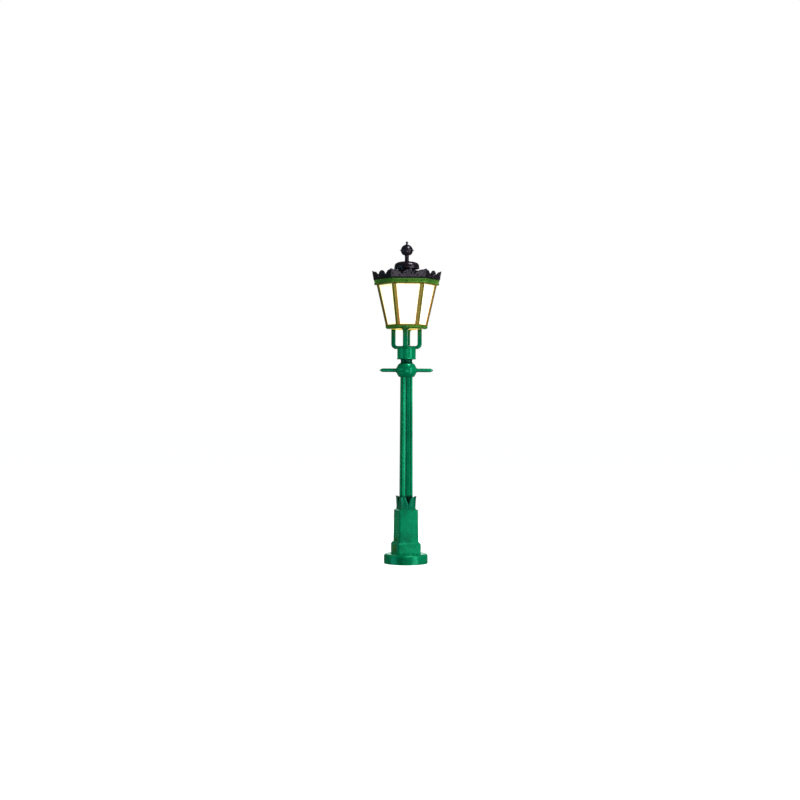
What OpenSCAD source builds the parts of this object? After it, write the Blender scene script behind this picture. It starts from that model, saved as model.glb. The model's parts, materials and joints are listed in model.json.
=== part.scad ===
// Park street lamp: cast-iron post with a hexagonal lantern.
// Millimetres, +Z up, origin at the centre of the base on the ground, front is -Y.

/* [Output] */
// Sub-part to draw, or all of them

/* [Base] */
// Diameter of the round base drum
base_d = 450; // [300:1:600]
// Height of the base drum
base_h = 100; // [60:1:160]
// Radius of the drum's rounded top edge
base_edge_r = 26; // [5:1:40]
// Wall of the drum
base_wall = 14; // [8:1:25]
// Thickness of the drum's floor plate
base_floor = 16; // [8:1:30]
// Thickness of the drum's top deck
base_deck = 16; // [8:1:30]
// Radius of the opening in the deck
deck_open_r = 100; // [60:1:110]
// Radius of the cable entry in the floor plate
cable_entry_r = 50; // [20:1:60]
// Pitch circle of the anchor holes
anchor_pcd = 160; // [140:1:176]
// Diameter of an anchor hole
anchor_d = 22; // [12:1:26]
// Turn of the post about the lantern's axis, in degrees
post_turn = 15; // [-45:1:45]

/* [Plinth] */
// Side of the square plinth
plinth_w = 250; // [215:1:290]
// Height of the plinth
plinth_h = 120; // [80:1:200]
// Height of the plinth's sloped shoulder
plinth_slope_h = 20; // [5:1:40]
// Wall of the plinth
plinth_wall = 14; // [8:1:20]
// Length of the recessed panel on each face
panel_l = 130; // [60:1:180]
// Height of the recessed panel
panel_h = 54; // [20:1:80]
// Depth of the recessed panel
panel_depth = 5; // [2:1:8]

/* [Pedestal] */
// Side of the pedestal at its foot
ped_w = 212; // [180:1:240]
// Side of the pedestal at its shoulder
ped_top_w = 202; // [170:1:230]
// Height of the pedestal with its shoulder
ped_h = 336; // [280:1:460]
// Height of the sloped shoulder
ped_slope_h = 11; // [4:1:30]
// Side of the hollow inside the pedestal
ped_hollow_w = 180; // [150:1:190]
// Thickness of the pedestal's top deck
ped_deck = 18; // [10:1:30]
// Diameter of a tie bolt
tie_d = 12; // [8:1:16]

/* [Service door] */
// Width of the door
door_w = 126; // [100:1:136]
// Height of the door
door_h = 240; // [180:1:260]
// Thickness of the door
door_t = 6; // [4:1:10]
// Height of the door's lower edge above the pedestal's foot
door_z = 45; // [35:1:80]
// Ledge that the door closes on
door_ledge = 7; // [4:1:12]
// Gap around the door
door_gap = 1; // [0.5:0.1:2]
// Diameter of a door hinge pin
door_pin_d = 6; // [4:1:8]
// Length of one door hinge knuckle
door_knuckle_l = 14; // [8:1:20]
// Diameter of the lock's barrel
lock_d = 14; // [10:1:20]
// Length of the lock's cam from its axis
lock_reach = 25; // [22:1:30]

/* [Supply] */
// Width of the cut-out
cutout_w = 70; // [50:1:100]
// Height of the cut-out
cutout_h = 100; // [70:1:130]
// Thickness of the wooden backboard
board_t = 12; // [8:1:20]
// Travel of the fuse carrier
fuse_travel = 30; // [20:1:40]
// Diameter of the riser cable
cable_d = 10; // [6:1:12]
// Distance of the riser cable from the post's axis
cable_off = 22; // [18:1:24]

/* [Column] */
// Diameter of the column at its foot
col_d = 144; // [120:1:160]
// Diameter of the column at its head
col_top_d = 131; // [110:1:150]
// Length of the column
col_h = 1349; // [900:1:2400]
// Diameter of the column's bore
col_bore_d = 84; // [60:1:90]
// Number of flutes
flutes = 6; // [5:1:8]
// Depth of a flute below the column's outer circle
flute_depth = 14; // [10:1:16]
// Radius of a flute's hollow
flute_r = 118; // [70:1:250]
// Turn of the flutes about the lantern's axis, in degrees
flute_turn = -6; // [-30:1:30]
// Side of the leaf collar at its foot
leaf_w = 154; // [148:1:170]
// Side of the leaf collar across its tips
leaf_top_w = 164; // [150:1:190]
// Height of the leaf collar
leaf_h = 134; // [80:1:200]
// Height of the collar's plain band
leaf_band_h = 56; // [20:1:90]
// Width of the notch between two leaves at the top
leaf_notch_w = 68; // [30:1:120]

/* [Ladder boss] */
// Diameter of the ball-shaped boss
boss_d = 207; // [180:1:240]
// Height of the boss between its flats
boss_h = 140; // [100:1:160]
// Span of the ladder bar from tip to tip
bar_span = 550; // [400:1:700]
// Diameter of the ladder bar
bar_d = 38; // [24:1:44]
// Length of the bar's pointed tip
bar_tip = 28; // [10:1:50]

/* [Neck and cradle] */
// Diameter of the neck
neck_d = 123; // [100:1:150]
// Height of the neck
neck_h = 45; // [30:1:80]
// Diameter of the lantern collar
collar_d = 193; // [170:1:220]
// Height of the lantern collar
collar_h = 125; // [90:1:160]
// Wall of the lantern collar
collar_wall = 12; // [8:1:18]
// Thickness of the collar's top plate
collar_top_t = 22; // [12:1:30]
// Height of the cradle above the collar
cradle_h = 183; // [140:1:260]
// Radius of the cradle over its arms
cradle_r = 156; // [140:1:162]
// Thickness of a cradle arm
arm_t = 42; // [24:1:50]
// Width of a cradle arm
arm_w = 46; // [30:1:60]
// Width of an arm at its head
arm_head_w = 88; // [60:1:110]
// Turn of the cradle about the lantern's axis, in degrees
cradle_turn = -9; // [-15:1:0]

/* [Lantern] */
// Width of the lower rim across its corners
low_rim_w = 438; // [380:1:460]
// Height of the lower rim
low_rim_h = 45; // [36:1:70]
// Width of the opening in the lower rim's floor, across its corners
floor_open_w = 271; // [240:1:280]
// Height of the lower rim's sloped edge
low_rim_slope = 16; // [10:1:25]
// Height of the glazing between the rims
glass_h = 402; // [300:1:560]
// Width over the corner bars at the top
bars_top_w = 613; // [520:1:620]
// Width of a corner bar
bar_w = 34; // [30:1:60]
// Thickness of a corner bar
bar_t = 24; // [12:1:28]
// Thickness of a pane
pane_t = 5; // [3:1:6]
// Clearance around a pane
pane_gap = 0.4; // [0.2:0.1:0.8]
// Width of the upper rim across its corners
up_rim_w = 676; // [650:1:760]
// Height of the upper rim
up_rim_h = 56; // [50:1:90]
// Height of the upper rim's sloped edge
up_rim_slope = 12; // [6:1:20]
// Wall of the rims, across the flats
rim_wall = 11; // [6:1:14]
// Diameter of the lamp stem
stem_d = 22; // [18:1:24]
// Height of the lampholder's foot above the lower rim's top
holder_z = 30; // [10:1:80]
// Diameter of the lamp's bulb
bulb_d = 90; // [60:1:120]

/* [Hood] */
// Width of the hood's flange across its corners
hood_w = 684; // [672:1:770]
// Thickness of the hood's flange
hood_flange_t = 6; // [4:1:10]
// Height of the roof above its flange
roof_h = 96; // [50:1:120]
// Width of the roof's top across its corners
roof_top_w = 220; // [205:1:235]
// Thickness of the roof's shell, measured upright
roof_t = 6; // [4:1:10]
// Height of the cresting
crest_h = 92; // [50:1:110]
// Width of the cresting across its corner tips
crest_top_w = 718; // [690:1:800]
// Thickness of the cresting
crest_t = 8; // [5:1:12]
// Diameter of the hood hinge pins
hinge_pin_d = 6; // [4:1:6]
// Distance of each hinge from the middle
hinge_x = 100; // [60:1:130]
// Diameter of the latch knob
latch_knob_d = 16; // [12:1:20]
// Length of the latch cam from its axis
latch_reach = 26; // [22:1:27]

/* [Dome and finial] */
// Diameter of the ventilator dome
dome_d = 262; // [250:1:300]
// Height of the dome
dome_h = 75; // [60:1:100]
// Radius of the dome's shoulder
dome_edge_r = 52; // [20:1:55]
// Diameter of the vent ring
vent_d = 176; // [170:1:190]
// Height of the vent ring
vent_h = 34; // [26:1:50]
// Gap between the roof's top and the dome's edge
vent_gap = 14; // [8:1:24]
// Diameter of the finial's stem
fin_stem_d = 45; // [30:1:60]
// Length of the finial's stem
fin_stem_h = 65; // [30:1:100]
// Diameter of the finial's ball
ball_d = 124; // [80:1:140]
// Diameter over the ball's pointed ring
ring_d = 144; // [130:1:180]
// Thickness of the ring
ring_t = 12; // [6:1:16]
// Diameter of the top knob
knob_d = 26; // [20:1:40]

/* [Fits] */
// Radial clearance of a running fit
run_fit = 0.1; // [0.05:0.01:0.1]
// Radial clearance of a seated fit
seat_fit = 0.05; // [0.02:0.01:0.08]

/* [Hidden] */
$fn = 96;
eps = 0.01;
c30 = cos(30);

green = [0.03, 0.40, 0.24];
black = [0.06, 0.05, 0.07];
steel = [0.62, 0.63, 0.65];
brass = [0.78, 0.62, 0.30];
glass = [0.98, 0.96, 0.86];

// Levels, from the ground up
z_ped = base_h + plinth_h;
z_col = z_ped + ped_h;
z_boss = z_col + col_h;
z_bar = z_boss + boss_h / 2;
z_neck = z_boss + boss_h;
z_neck_top = z_neck + neck_h;
z_collar = z_neck_top - 3;
z_cradle = z_collar + collar_h;
z_low = z_cradle + cradle_h;
z_glass = z_low + low_rim_h;
z_up = z_glass + glass_h;
z_hood = z_up + up_rim_h;
z_crest = z_hood + hood_flange_t;
z_roof = z_crest + roof_h;
z_dome = z_roof + vent_gap;
z_seat = z_roof + vent_h;
z_stem = z_dome + dome_h;
z_ball = z_stem + fin_stem_h;
z_knob = z_ball + 106;

// Post
ped_in = ped_hollow_w / 2;
tie_x = ped_in - tie_d / 2 - 3;
tie_shank_z = z_col - ped_deck - 1;
door_z0 = z_ped + door_z;
door_y = ped_in + 8;
frame_y = door_y + door_t + 2;
frame_w = door_w / 2 + 13;
door_axis_x = -(door_w / 2 + 7);
door_axis_y = frame_y + 7;
knuckle_r = door_pin_d / 2 + 3.5;
lock_x = door_w / 2 - 23;
lock_z = door_z0 + door_h / 2;
cutout_z = door_z0 + 60;
cutout_y0 = -ped_in + board_t;
cutout_y1 = -cable_off + 12;
block_h = 30;
spigot_r = col_bore_d / 2 - run_fit;
boss_bore_r = 34;
neck_bore_r = 30;
socket_d = bar_d - 8;
socket_in = boss_d / 2 - 38;
collar_in_r = collar_d / 2 - collar_wall;

// Lantern
low_r = low_rim_w / 2;
low_foot_r = low_r - 26;
floor_open_r = floor_open_w / 2;
floor_pane_r = floor_open_r + 11;
low_in_r = low_r - 36;
bar_low_r = low_r - 3.5;
bar_top_r = bars_top_w / 2;
lean = atan((bar_top_r - bar_low_r) * c30 / glass_h);
up_r = up_rim_w / 2;
up_in_r = up_r - rim_wall / c30;
up_foot_r = up_r - 21;
flange_in_r = bar_top_r - 38;
up_flat = up_r * c30;
hinge_y = up_flat + 12;
hinge_z = z_hood - 12;
latch_z = z_hood - 30;
latch_y = up_in_r * c30;
holder_foot = z_glass + holder_z;
hood_r = hood_w / 2;
crest_r = hood_r + 2;
crest_tip_r = crest_top_w / 2;
roof_r = hood_r - 14;
fin_mid = z_ball + 49;

// radius step that moves a leaning hexagon's face inwards by d
function step(d) = d / (c30 * cos(lean));

module frustum(z0, z1, r0, r1, n = 6) {
    translate([0, 0, z0]) cylinder(h = z1 - z0, r1 = r0, r2 = r1, $fn = n);
}

module rod(z0, z1, r) {
    translate([0, 0, z0]) cylinder(h = z1 - z0, r = r);
}

module square_post(z0, z1, w0, w1) {
    rotate([0, 0, 45]) frustum(z0, z1, w0 / sqrt(2), w1 / sqrt(2), 4);
}

module turned() {
    rotate([0, 0, post_turn]) children();
}

module ring_of(n, r, a0 = 0) {
    for (i = [0:n - 1]) rotate([0, 0, a0 + i * 360 / n]) translate([r, 0, 0]) children();
}

module along_y(x, y, z) {
    translate([x, y, z]) rotate([-90, 0, 0]) children();
}

// ---- Base, plinth and pedestal ----

module base_drum() color(green) turned() {
    difference() {
        rotate_extrude() difference() {
            union() {
                square([base_d / 2, base_h - base_edge_r]);
                square([base_d / 2 - base_edge_r, base_h]);
                translate([base_d / 2 - base_edge_r, base_h - base_edge_r]) circle(base_edge_r);
            }
            translate([-base_d, 0]) square([base_d, base_h]);
        }
        rod(base_floor, base_h - base_deck, base_d / 2 - base_wall);
        rod(base_h - base_deck - 1, base_h + 1, deck_open_r);
        rod(-1, base_floor + 1, cable_entry_r);
        ring_of(4, anchor_pcd / 2) rod(-1, base_floor + 1, anchor_d / 2);
        for (x = [-tie_x, tie_x], y = [-tie_x, tie_x])
            translate([x, y, 0]) rod(base_h - base_deck - 1, base_h + 1, tie_d / 2 + 0.5);
    }
}

module panel_recess() {
    translate([0, -plinth_w / 2 - 1, base_h + (plinth_h - plinth_slope_h) / 2]) {
        rotate([-90, 0, 0]) {
            for (s = [-1, 1]) translate([s * (panel_l - panel_h) / 2, 0, 0])
                cylinder(h = panel_depth + 1, d = panel_h);
        }
        translate([-(panel_l - panel_h) / 2, 0, -panel_h / 2])
            cube([panel_l - panel_h, panel_depth + 1, panel_h]);
    }
}

module plinth() color(green) turned() {
    shoulder = z_ped - plinth_slope_h;
    difference() {
        union() {
            square_post(base_h, shoulder, plinth_w, plinth_w);
            square_post(shoulder, z_ped, plinth_w, ped_w + 8);
        }
        square_post(base_h - 1, shoulder - 10, plinth_w - 2 * plinth_wall - 6,
            plinth_w - 2 * plinth_wall - 6);
        square_post(shoulder - 12, z_ped + 1, ped_hollow_w + 4, ped_hollow_w + 4);
        for (a = [0:90:270]) rotate([0, 0, a]) panel_recess();
    }
}

module door_knuckle_at(z, l) {
    translate([door_axis_x, door_axis_y, 0]) rod(z, z + l, knuckle_r);
}

module pedestal() color(green) turned() {
    shoulder = z_col - ped_slope_h;
    kz = door_knuckle_l;
    difference() {
        union() {
            square_post(z_ped, shoulder, ped_w, ped_top_w);
            square_post(shoulder, z_col, ped_top_w, leaf_w + 6);
            translate([-frame_w, ped_in, door_z0 - 11])
                cube([2 * frame_w, frame_y - ped_in, door_h + 22]);
            for (h = [0, 1]) translate([0, 0, door_z0 + 30 + h * (door_h - 60)]) {
                for (s = [-1.5, 0.5]) {
                    door_knuckle_at(s * kz, kz - 0.3);
                    translate([door_axis_x - knuckle_r, frame_y - 1, s * kz])
                        cube([2 * knuckle_r, 7, kz - 0.3]);
                }
            }
        }
        square_post(z_ped - 1, z_col - ped_deck, ped_hollow_w, ped_hollow_w);
        rod(z_col - ped_deck - 1, z_col + 1, col_bore_d / 2);
        translate([-door_w / 2 - door_gap, door_y, door_z0 - door_gap])
            cube([door_w + 2 * door_gap, 60, door_h + 2 * door_gap]);
        translate([-door_w / 2 + door_ledge, 0, door_z0 + door_ledge])
            cube([door_w - 2 * door_ledge, 120, door_h - 2 * door_ledge]);
        for (h = [0, 1])
            translate([door_axis_x, door_axis_y, door_z0 + 30 + h * (door_h - 60)])
                rod(-2 * kz, 2 * kz, door_pin_d / 2 + seat_fit);
        for (x = [-tie_x, tie_x], y = [-tie_x, tie_x])
            translate([x, y, 0]) rod(z_col - ped_deck - 1, z_col - 6, tie_d / 2 + run_fit);
        ring_of(4, (col_bore_d / 2 + col_d / 2 - flute_depth) / 2)
            rod(z_col - ped_deck - 1, z_col + 1, 5 + run_fit);
        translate([ped_in - 1, 0, z_ped + 30]) rotate([0, 90, 0])
            cylinder(h = 7, r = 4 + run_fit);
        for (z = [cutout_z - 25, cutout_z + cutout_h + 25])
            along_y(0, -ped_in - 5, z) cylinder(h = 6, r = 3 + run_fit);
    }
}

module tie_bolts() color(steel) turned() {
    for (x = [-tie_x, tie_x], y = [-tie_x, tie_x]) translate([x, y, 0]) {
        rod(base_h - base_deck - 1, z_col - 8, tie_d / 2);
        frustum(base_h - base_deck - 10, base_h - base_deck, tie_d * 0.95, tie_d * 0.95);
    }
}

module service_door() color(green) turned() {
    kz = door_knuckle_l;
    difference() {
        union() {
            translate([-door_w / 2, door_y, door_z0]) cube([door_w, door_t, door_h]);
            for (h = [0, 1]) translate([0, 0, door_z0 + 30 + h * (door_h - 60)]) {
                door_knuckle_at(-kz / 2, kz - 0.3);
                translate([door_axis_x, frame_y + 1, -kz / 2]) cube([24, 6, kz - 0.3]);
                translate([-door_w / 2 + 2, door_y + door_t - 1, -kz / 2])
                    cube([15, frame_y - door_y - door_t + 5, kz - 0.3]);
            }
        }
        for (h = [0, 1])
            translate([door_axis_x, door_axis_y, door_z0 + 30 + h * (door_h - 60)])
                rod(-kz, kz, door_pin_d / 2 + run_fit);
        along_y(lock_x, door_y - 1, lock_z) cylinder(h = door_t + 2, r = lock_d / 2 + run_fit);
    }
}

module door_hinge_pins() color(steel) turned() {
    kz = door_knuckle_l;
    for (h = [0, 1])
        translate([door_axis_x, door_axis_y, door_z0 + 30 + h * (door_h - 60)]) {
            rod(-1.5 * kz, 1.5 * kz + 1, door_pin_d / 2);
            rod(1.5 * kz - 0.3, 1.5 * kz + 2.5, door_pin_d / 2 + 1.5);
        }
}

module lock_barrel() color(brass) turned() {
    along_y(lock_x, door_y - 10, lock_z) cylinder(h = 10 + door_t, r = lock_d / 2);
    along_y(lock_x, door_y - 18, lock_z) cylinder(h = 9, r = lock_d / 2 - 2);
    difference() {
        along_y(lock_x, door_y + door_t, lock_z) cylinder(h = 3, r = lock_d / 2 + 3);
        translate([lock_x - 1.5, door_y + door_t + 1.5, lock_z - 7]) cube([3, 5, 14]);
    }
}

module lock_cam() color(steel) turned() {
    difference() {
        union() {
            along_y(lock_x, door_y - 14, lock_z) cylinder(h = 4, r = lock_d / 2 + 1);
            translate([lock_x - 6, door_y - 14, lock_z]) cube([12, 4, lock_reach]);
        }
        along_y(lock_x, door_y - 20, lock_z)
            cylinder(h = 20, r = lock_d / 2 - 2 + seat_fit);
    }
}

module backboard() color([0.55, 0.40, 0.24]) turned() {
    difference() {
        translate([-60, -ped_in, cutout_z - 40]) cube([120, board_t, cutout_h + 80]);
        for (z = [cutout_z - 25, cutout_z + cutout_h + 25])
            along_y(0, -ped_in - 1, z) cylinder(h = board_t + 2, r = 3 + run_fit);
    }
}

module backboard_screws() color(steel) turned() {
    for (z = [cutout_z - 25, cutout_z + cutout_h + 25]) {
        along_y(0, -ped_in - 4, z) cylinder(h = board_t + 5, r = 3);
        along_y(0, -ped_in + board_t, z) cylinder(h = 4, r = 6);
    }
}

module cutout_base() color([0.15, 0.15, 0.16]) turned() {
    difference() {
        translate([-cutout_w / 2, cutout_y0, cutout_z])
            cube([cutout_w, cutout_y1 - cutout_y0, cutout_h]);
        for (s = [-1, 1])
            translate([-4 - run_fit, cutout_y1 - fuse_travel, cutout_z + cutout_h / 2 + s * 25 - 10])
                cube([8 + 2 * run_fit, fuse_travel + 1, 20]);
    }
}

module fuse_carrier() color([0.90, 0.89, 0.84]) turned() {
    translate([-20, cutout_y1 + 0.2, cutout_z + cutout_h / 2 - 40]) cube([40, 22, 80]);
    translate([-8, cutout_y1 + 22, cutout_z + cutout_h / 2 - 22]) cube([16, 14, 44]);
    for (s = [-1, 1])
        translate([-4, cutout_y1 - fuse_travel + 4, cutout_z + cutout_h / 2 + s * 25 - 9])
            cube([8, fuse_travel, 18]);
}

module earth_stud() color(brass) turned() {
    translate([ped_in + 5, 0, z_ped + 30]) rotate([0, -90, 0]) {
        cylinder(h = 26, r = 4);
        translate([0, 0, 5]) cylinder(h = 6, r = 8, $fn = 6);
    }
}

// ---- Column, leaf collar and ladder boss ----

module column_profile() {
    difference() {
        circle(d = col_d);
        for (i = [0:flutes - 1]) rotate([0, 0, i * 360 / flutes - 90])
            translate([col_d / 2 + flute_r - flute_depth, 0]) circle(flute_r, $fn = 180);
    }
}

module column() color(green) turned() {
    difference() {
        translate([0, 0, z_col]) rotate([0, 0, flute_turn - post_turn])
            linear_extrude(height = col_h, scale = col_top_d / col_d) column_profile();
        rod(z_col - 1, z_boss + 1, col_bore_d / 2);
        ring_of(4, (col_bore_d / 2 + col_d / 2 - flute_depth) / 2)
            rod(z_col - 1, z_col + 22, 5 + run_fit);
    }
}

module column_bolts() color(steel) turned() {
    ring_of(4, (col_bore_d / 2 + col_d / 2 - flute_depth) / 2) {
        rod(z_col - ped_deck - 1, z_col + 20, 5);
        frustum(z_col - ped_deck - 7, z_col - ped_deck, 9, 9);
    }
}

module leaf_collar() color(green) turned() {
    vz = z_col + leaf_band_h;
    vt = z_col + leaf_h + 1;
    difference() {
        square_post(z_col, z_col + leaf_h, leaf_w, leaf_top_w);
        rod(z_col - 1, vt, col_d / 2 + 1);
        for (a = [0, 90]) rotate([90, 0, a])
            linear_extrude(height = 2 * leaf_top_w, center = true)
                polygon([[0, vz], [leaf_notch_w / 2, vt], [-leaf_notch_w / 2, vt]]);
    }
}

module ladder_boss() color(green) {
    difference() {
        union() {
            intersection() {
                translate([0, 0, z_bar]) sphere(d = boss_d);
                rod(z_boss, z_neck, boss_d);
            }
            rod(z_boss - 40, z_boss + 1, spigot_r);
        }
        rod(z_boss - 41, z_neck + 1, boss_bore_r);
        for (s = [-1, 1]) translate([s * socket_in, 0, z_bar]) rotate([0, s * 90, 0])
            cylinder(h = boss_d, d = socket_d + 2 * seat_fit);
        for (s = [-1, 1]) translate([s * (boss_d / 2 - 7), 0, z_bar]) rotate([0, s * 90, 0])
            cylinder(h = boss_d, r = bar_d / 2 + 1);
    }
}

module ladder_bar() {
    translate([socket_in, 0, z_bar]) rotate([0, 90, 0])
        cylinder(h = boss_d / 2 - 7 - socket_in + 1, d = socket_d);
    translate([boss_d / 2 - 7, 0, z_bar]) rotate([0, 90, 0])
        cylinder(h = bar_span / 2 - boss_d / 2 + 7 - bar_tip, d = bar_d);
    translate([bar_span / 2 - bar_tip, 0, z_bar]) rotate([0, 90, 0])
        cylinder(h = bar_tip, d1 = bar_d, d2 = 3);
}

module ladder_bar_left() color(green) mirror([1, 0, 0]) ladder_bar();

module ladder_bar_right() color(green) ladder_bar();

// ---- Neck, collar and cradle ----

module neck() color(green) {
    sleeve_top = z_cradle - collar_top_t;
    difference() {
        union() {
            rod(z_neck - 40, z_neck + 1, boss_bore_r - run_fit);
            rod(z_neck, z_neck_top + 1, neck_d / 2);
            rod(z_neck_top, sleeve_top, collar_in_r - run_fit);
        }
        rod(z_neck - 41, sleeve_top + 1, neck_bore_r);
        rod(z_neck_top + 14, sleeve_top + 1, collar_in_r - 12);
    }
}

module lantern_collar() color(green) {
    difference() {
        rod(z_collar, z_cradle, collar_d / 2);
        rod(z_collar - 1, z_cradle - collar_top_t, collar_in_r);
        rod(z_collar, z_cradle + 1, neck_bore_r);
        ring_of(3, 0, 30) translate([0, 0, z_collar + 45]) rotate([0, 90, 0])
            cylinder(h = collar_d, r = 5 + run_fit);
        ring_of(4, 42, cradle_turn + 45) rod(z_cradle - 16, z_cradle + 1, 5 + run_fit);
    }
}

module collar_grub_screws() color(steel) {
    ring_of(3, collar_in_r + 0.2, 30) translate([0, 0, z_collar + 45]) rotate([0, 90, 0])
        difference() {
            cylinder(h = collar_wall + 2, r = 5);
            translate([0, 0, collar_wall - 3]) cylinder(h = 6, r = 2.6, $fn = 6);
        }
}

module arm_side() {
    foot = z_cradle - 20;
    ri = cradle_r - arm_t;
    difference() {
        union() {
            translate([40, z_cradle]) square([80, 12]);
            translate([collar_d / 2 + 1, foot]) square([22, 32]);
            translate([cradle_r - 50, foot + 50]) circle(50);
            translate([ri, foot + 50]) square([arm_t, z_low - foot - 50]);
        }
        translate([0, z_cradle + 12]) square([ri - 20, cradle_h]);
        translate([0, foot - 1]) square([collar_d / 2 + 1, z_cradle - foot + 1]);
        translate([ri - 22, z_cradle + 34]) circle(22);
        translate([0, z_cradle + 34]) square([ri, cradle_h]);
    }
}

module arm_head_side() {
    polygon([[cradle_r - 4, z_low - 40], [cradle_r, z_low - 40], [low_r * c30 + 10, z_low + 8],
        [low_r * c30 + 10, z_low + 26], [low_r * c30 + 4, z_low + 32], [cradle_r - 24, z_low + 32],
        [cradle_r - 24, z_low - 4]]);
}

module arm_head_front() {
    difference() {
        translate([-arm_head_w / 2, z_low - 40]) square([arm_head_w, 39.9]);
        for (s = [-1, 1]) translate([s * arm_head_w / 2, z_low - 40])
            circle((arm_head_w - arm_w) / 2);
        for (s = [-1, 1]) translate([s * arm_head_w / 2, z_low - 24])
            circle((arm_head_w - arm_w) / 2);
    }
}

module cradle() color(green) rotate([0, 0, cradle_turn]) {
    difference() {
        union() {
            rod(z_cradle, z_cradle + 12, 62);
            for (a = [0:90:270]) rotate([0, 0, a]) {
                rotate([90, 0, 0]) translate([0, 0, -arm_w / 2])
                    linear_extrude(height = arm_w) arm_side();
                intersection() {
                    rotate([90, 0, 90]) linear_extrude(height = cradle_r) arm_head_front();
                    translate([cradle_r - arm_t, -arm_head_w, z_low - 60])
                        cube([arm_t, 2 * arm_head_w, 60]);
                }
            }
            for (a = [90, 270]) rotate([0, 0, a]) difference() {
                rotate([90, 0, 0]) translate([0, 0, -arm_w / 2])
                    linear_extrude(height = arm_w) arm_head_side();
                rotate([0, 0, -cradle_turn - a]) {
                    frustum(z_low - eps, z_low + low_rim_slope, low_foot_r, low_r);
                    frustum(z_low + low_rim_slope - eps, z_glass + 1, low_r, low_r);
                }
            }
        }
        rod(z_cradle - 1, z_cradle + 13, stem_d / 2 + run_fit);
        ring_of(4, 42, 45) rod(z_cradle - 1, z_cradle + 13, 5 + run_fit);
        for (a = [0:90:270]) rotate([0, 0, a])
            translate([a % 180 == 0 ? 147 : 137, 0, 0]) rod(z_low - 22, z_low + 1, 3 + run_fit);
    }
}

module cradle_bolts() color(steel) rotate([0, 0, cradle_turn]) {
    ring_of(4, 42, 45) {
        rod(z_cradle - 14, z_cradle + 13, 5);
        frustum(z_cradle + 12, z_cradle + 19, 9, 9);
    }
}

// ---- Lantern frame and glazing ----

module lower_rim() color(green) {
    slope_z = z_low + low_rim_slope;
    difference() {
        union() {
            frustum(z_low, slope_z, low_foot_r, low_r);
            frustum(slope_z, z_glass, low_r, low_r);
        }
        frustum(z_low - 1, z_low + 7, floor_open_r, floor_open_r);
        frustum(z_low + 6, slope_z, low_foot_r - 0.5, low_in_r);
        frustum(slope_z - eps, z_glass + 1, low_in_r, low_in_r);
        rotate([0, 0, cradle_turn]) for (a = [0:90:270]) rotate([0, 0, a])
            translate([a % 180 == 0 ? 147 : 137, 0, 0]) rod(z_low - 1, z_low + 8, 3 + run_fit);
    }
}

module cradle_rim_screws() color(steel) rotate([0, 0, cradle_turn]) {
    for (a = [0:90:270]) rotate([0, 0, a]) translate([a % 180 == 0 ? 147 : 137, 0, 0]) {
        rod(z_low - 20, z_low + 7, 3);
        rod(z_low + 6, z_low + 9, 6);
    }
}

module floor_pane() color(glass) {
    difference() {
        frustum(z_low + 6, z_low + 6 + pane_t, floor_pane_r, floor_pane_r);
        rod(z_low, z_low + 20, stem_d / 2 + 4);
        rotate([0, 0, cradle_turn]) for (a = [0:90:270]) rotate([0, 0, a])
            translate([a % 180 == 0 ? 147 : 137, 0, 0]) rod(z_low, z_low + 20, 7.5);
    }
}

module lamp_stem() color(brass) {
    difference() {
        union() {
            rod(z_cradle - 10, holder_foot + 12, stem_d / 2);
            rod(z_cradle + 12, z_cradle + 19, stem_d / 2 + 8);
            rod(holder_foot - 6, holder_foot, stem_d / 2 + 6);
        }
        rod(z_cradle - 11, holder_foot + 13, cable_d / 2 + 2);
    }
}

module lampholder() color([0.93, 0.92, 0.88]) {
    difference() {
        rod(holder_foot, holder_foot + 60, 25);
        rod(holder_foot - 1, holder_foot + 12.2, stem_d / 2 + run_fit);
        rod(holder_foot + 24, holder_foot + 61, 14);
    }
}

module lamp() color([1.0, 0.97, 0.88]) {
    rod(holder_foot + 24.2, holder_foot + 62, 14 - run_fit);
    translate([0, 0, holder_foot + 61]) cylinder(h = 40, r1 = 14 - run_fit, r2 = bulb_d * 0.40);
    translate([0, 0, holder_foot + 100 + bulb_d * 0.30]) sphere(d = bulb_d);
}

module sector(i, r, z0, z1) {
    translate([0, 0, z0]) linear_extrude(height = z1 - z0)
        polygon([[0, 0], [r * cos(60 * i), r * sin(60 * i)],
            [r * cos(60 * i + 60), r * sin(60 * i + 60)]]);
}

// a wide board that leans with a corner's edge, w wide
module edge_wedge(w) {
    out = bar_top_r - bar_low_r;
    translate([0, w / 2, 0]) rotate([90, 0, 0]) linear_extrude(height = w)
        polygon([[bar_low_r - 60, z_glass - 20], [bar_low_r + 20, z_glass - 20],
            [bar_low_r + 20 + out * 1.1, z_up + 20], [bar_low_r - 60 + out * 1.1, z_up + 20]]);
}

module leaning_shell(d0, d1, slack = 0) {
    difference() {
        frustum(z_glass, z_up, bar_low_r - step(d0), bar_top_r - step(d0));
        difference() {
            frustum(z_glass - slack, z_up + slack, bar_low_r - step(d1), bar_top_r - step(d1));
        }
    }
}

module corner_bars() color(green) {
    groove_0 = bar_t / 2 - pane_t / 2 - pane_gap;
    groove_1 = bar_t / 2 + pane_t / 2 + pane_gap;
    for (i = [0:5]) rotate([0, 0, 60 * i]) difference() {
        intersection() {
            leaning_shell(0, bar_t, 0.001);
            edge_wedge(bar_w);
        }
        difference() {
            leaning_shell(groove_0, groove_1, 0.001);
            edge_wedge(bar_w / 2);
        }
    }
}

module pane(i) {
    color(glass) intersection() {
        difference() {
            leaning_shell(bar_t / 2 - pane_t / 2, bar_t / 2 + pane_t / 2, 0.001);
            rotate([0, 0, 60 * i]) edge_wedge(bar_w / 2 + 2 * pane_gap);
            rotate([0, 0, 60 * i + 60]) edge_wedge(bar_w / 2 + 2 * pane_gap);
        }
        sector(i, 500, z_glass - 1, z_up + 1);
    }
}

module pane_1() pane(0);

module pane_2() pane(1);

module pane_3() pane(2);

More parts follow.
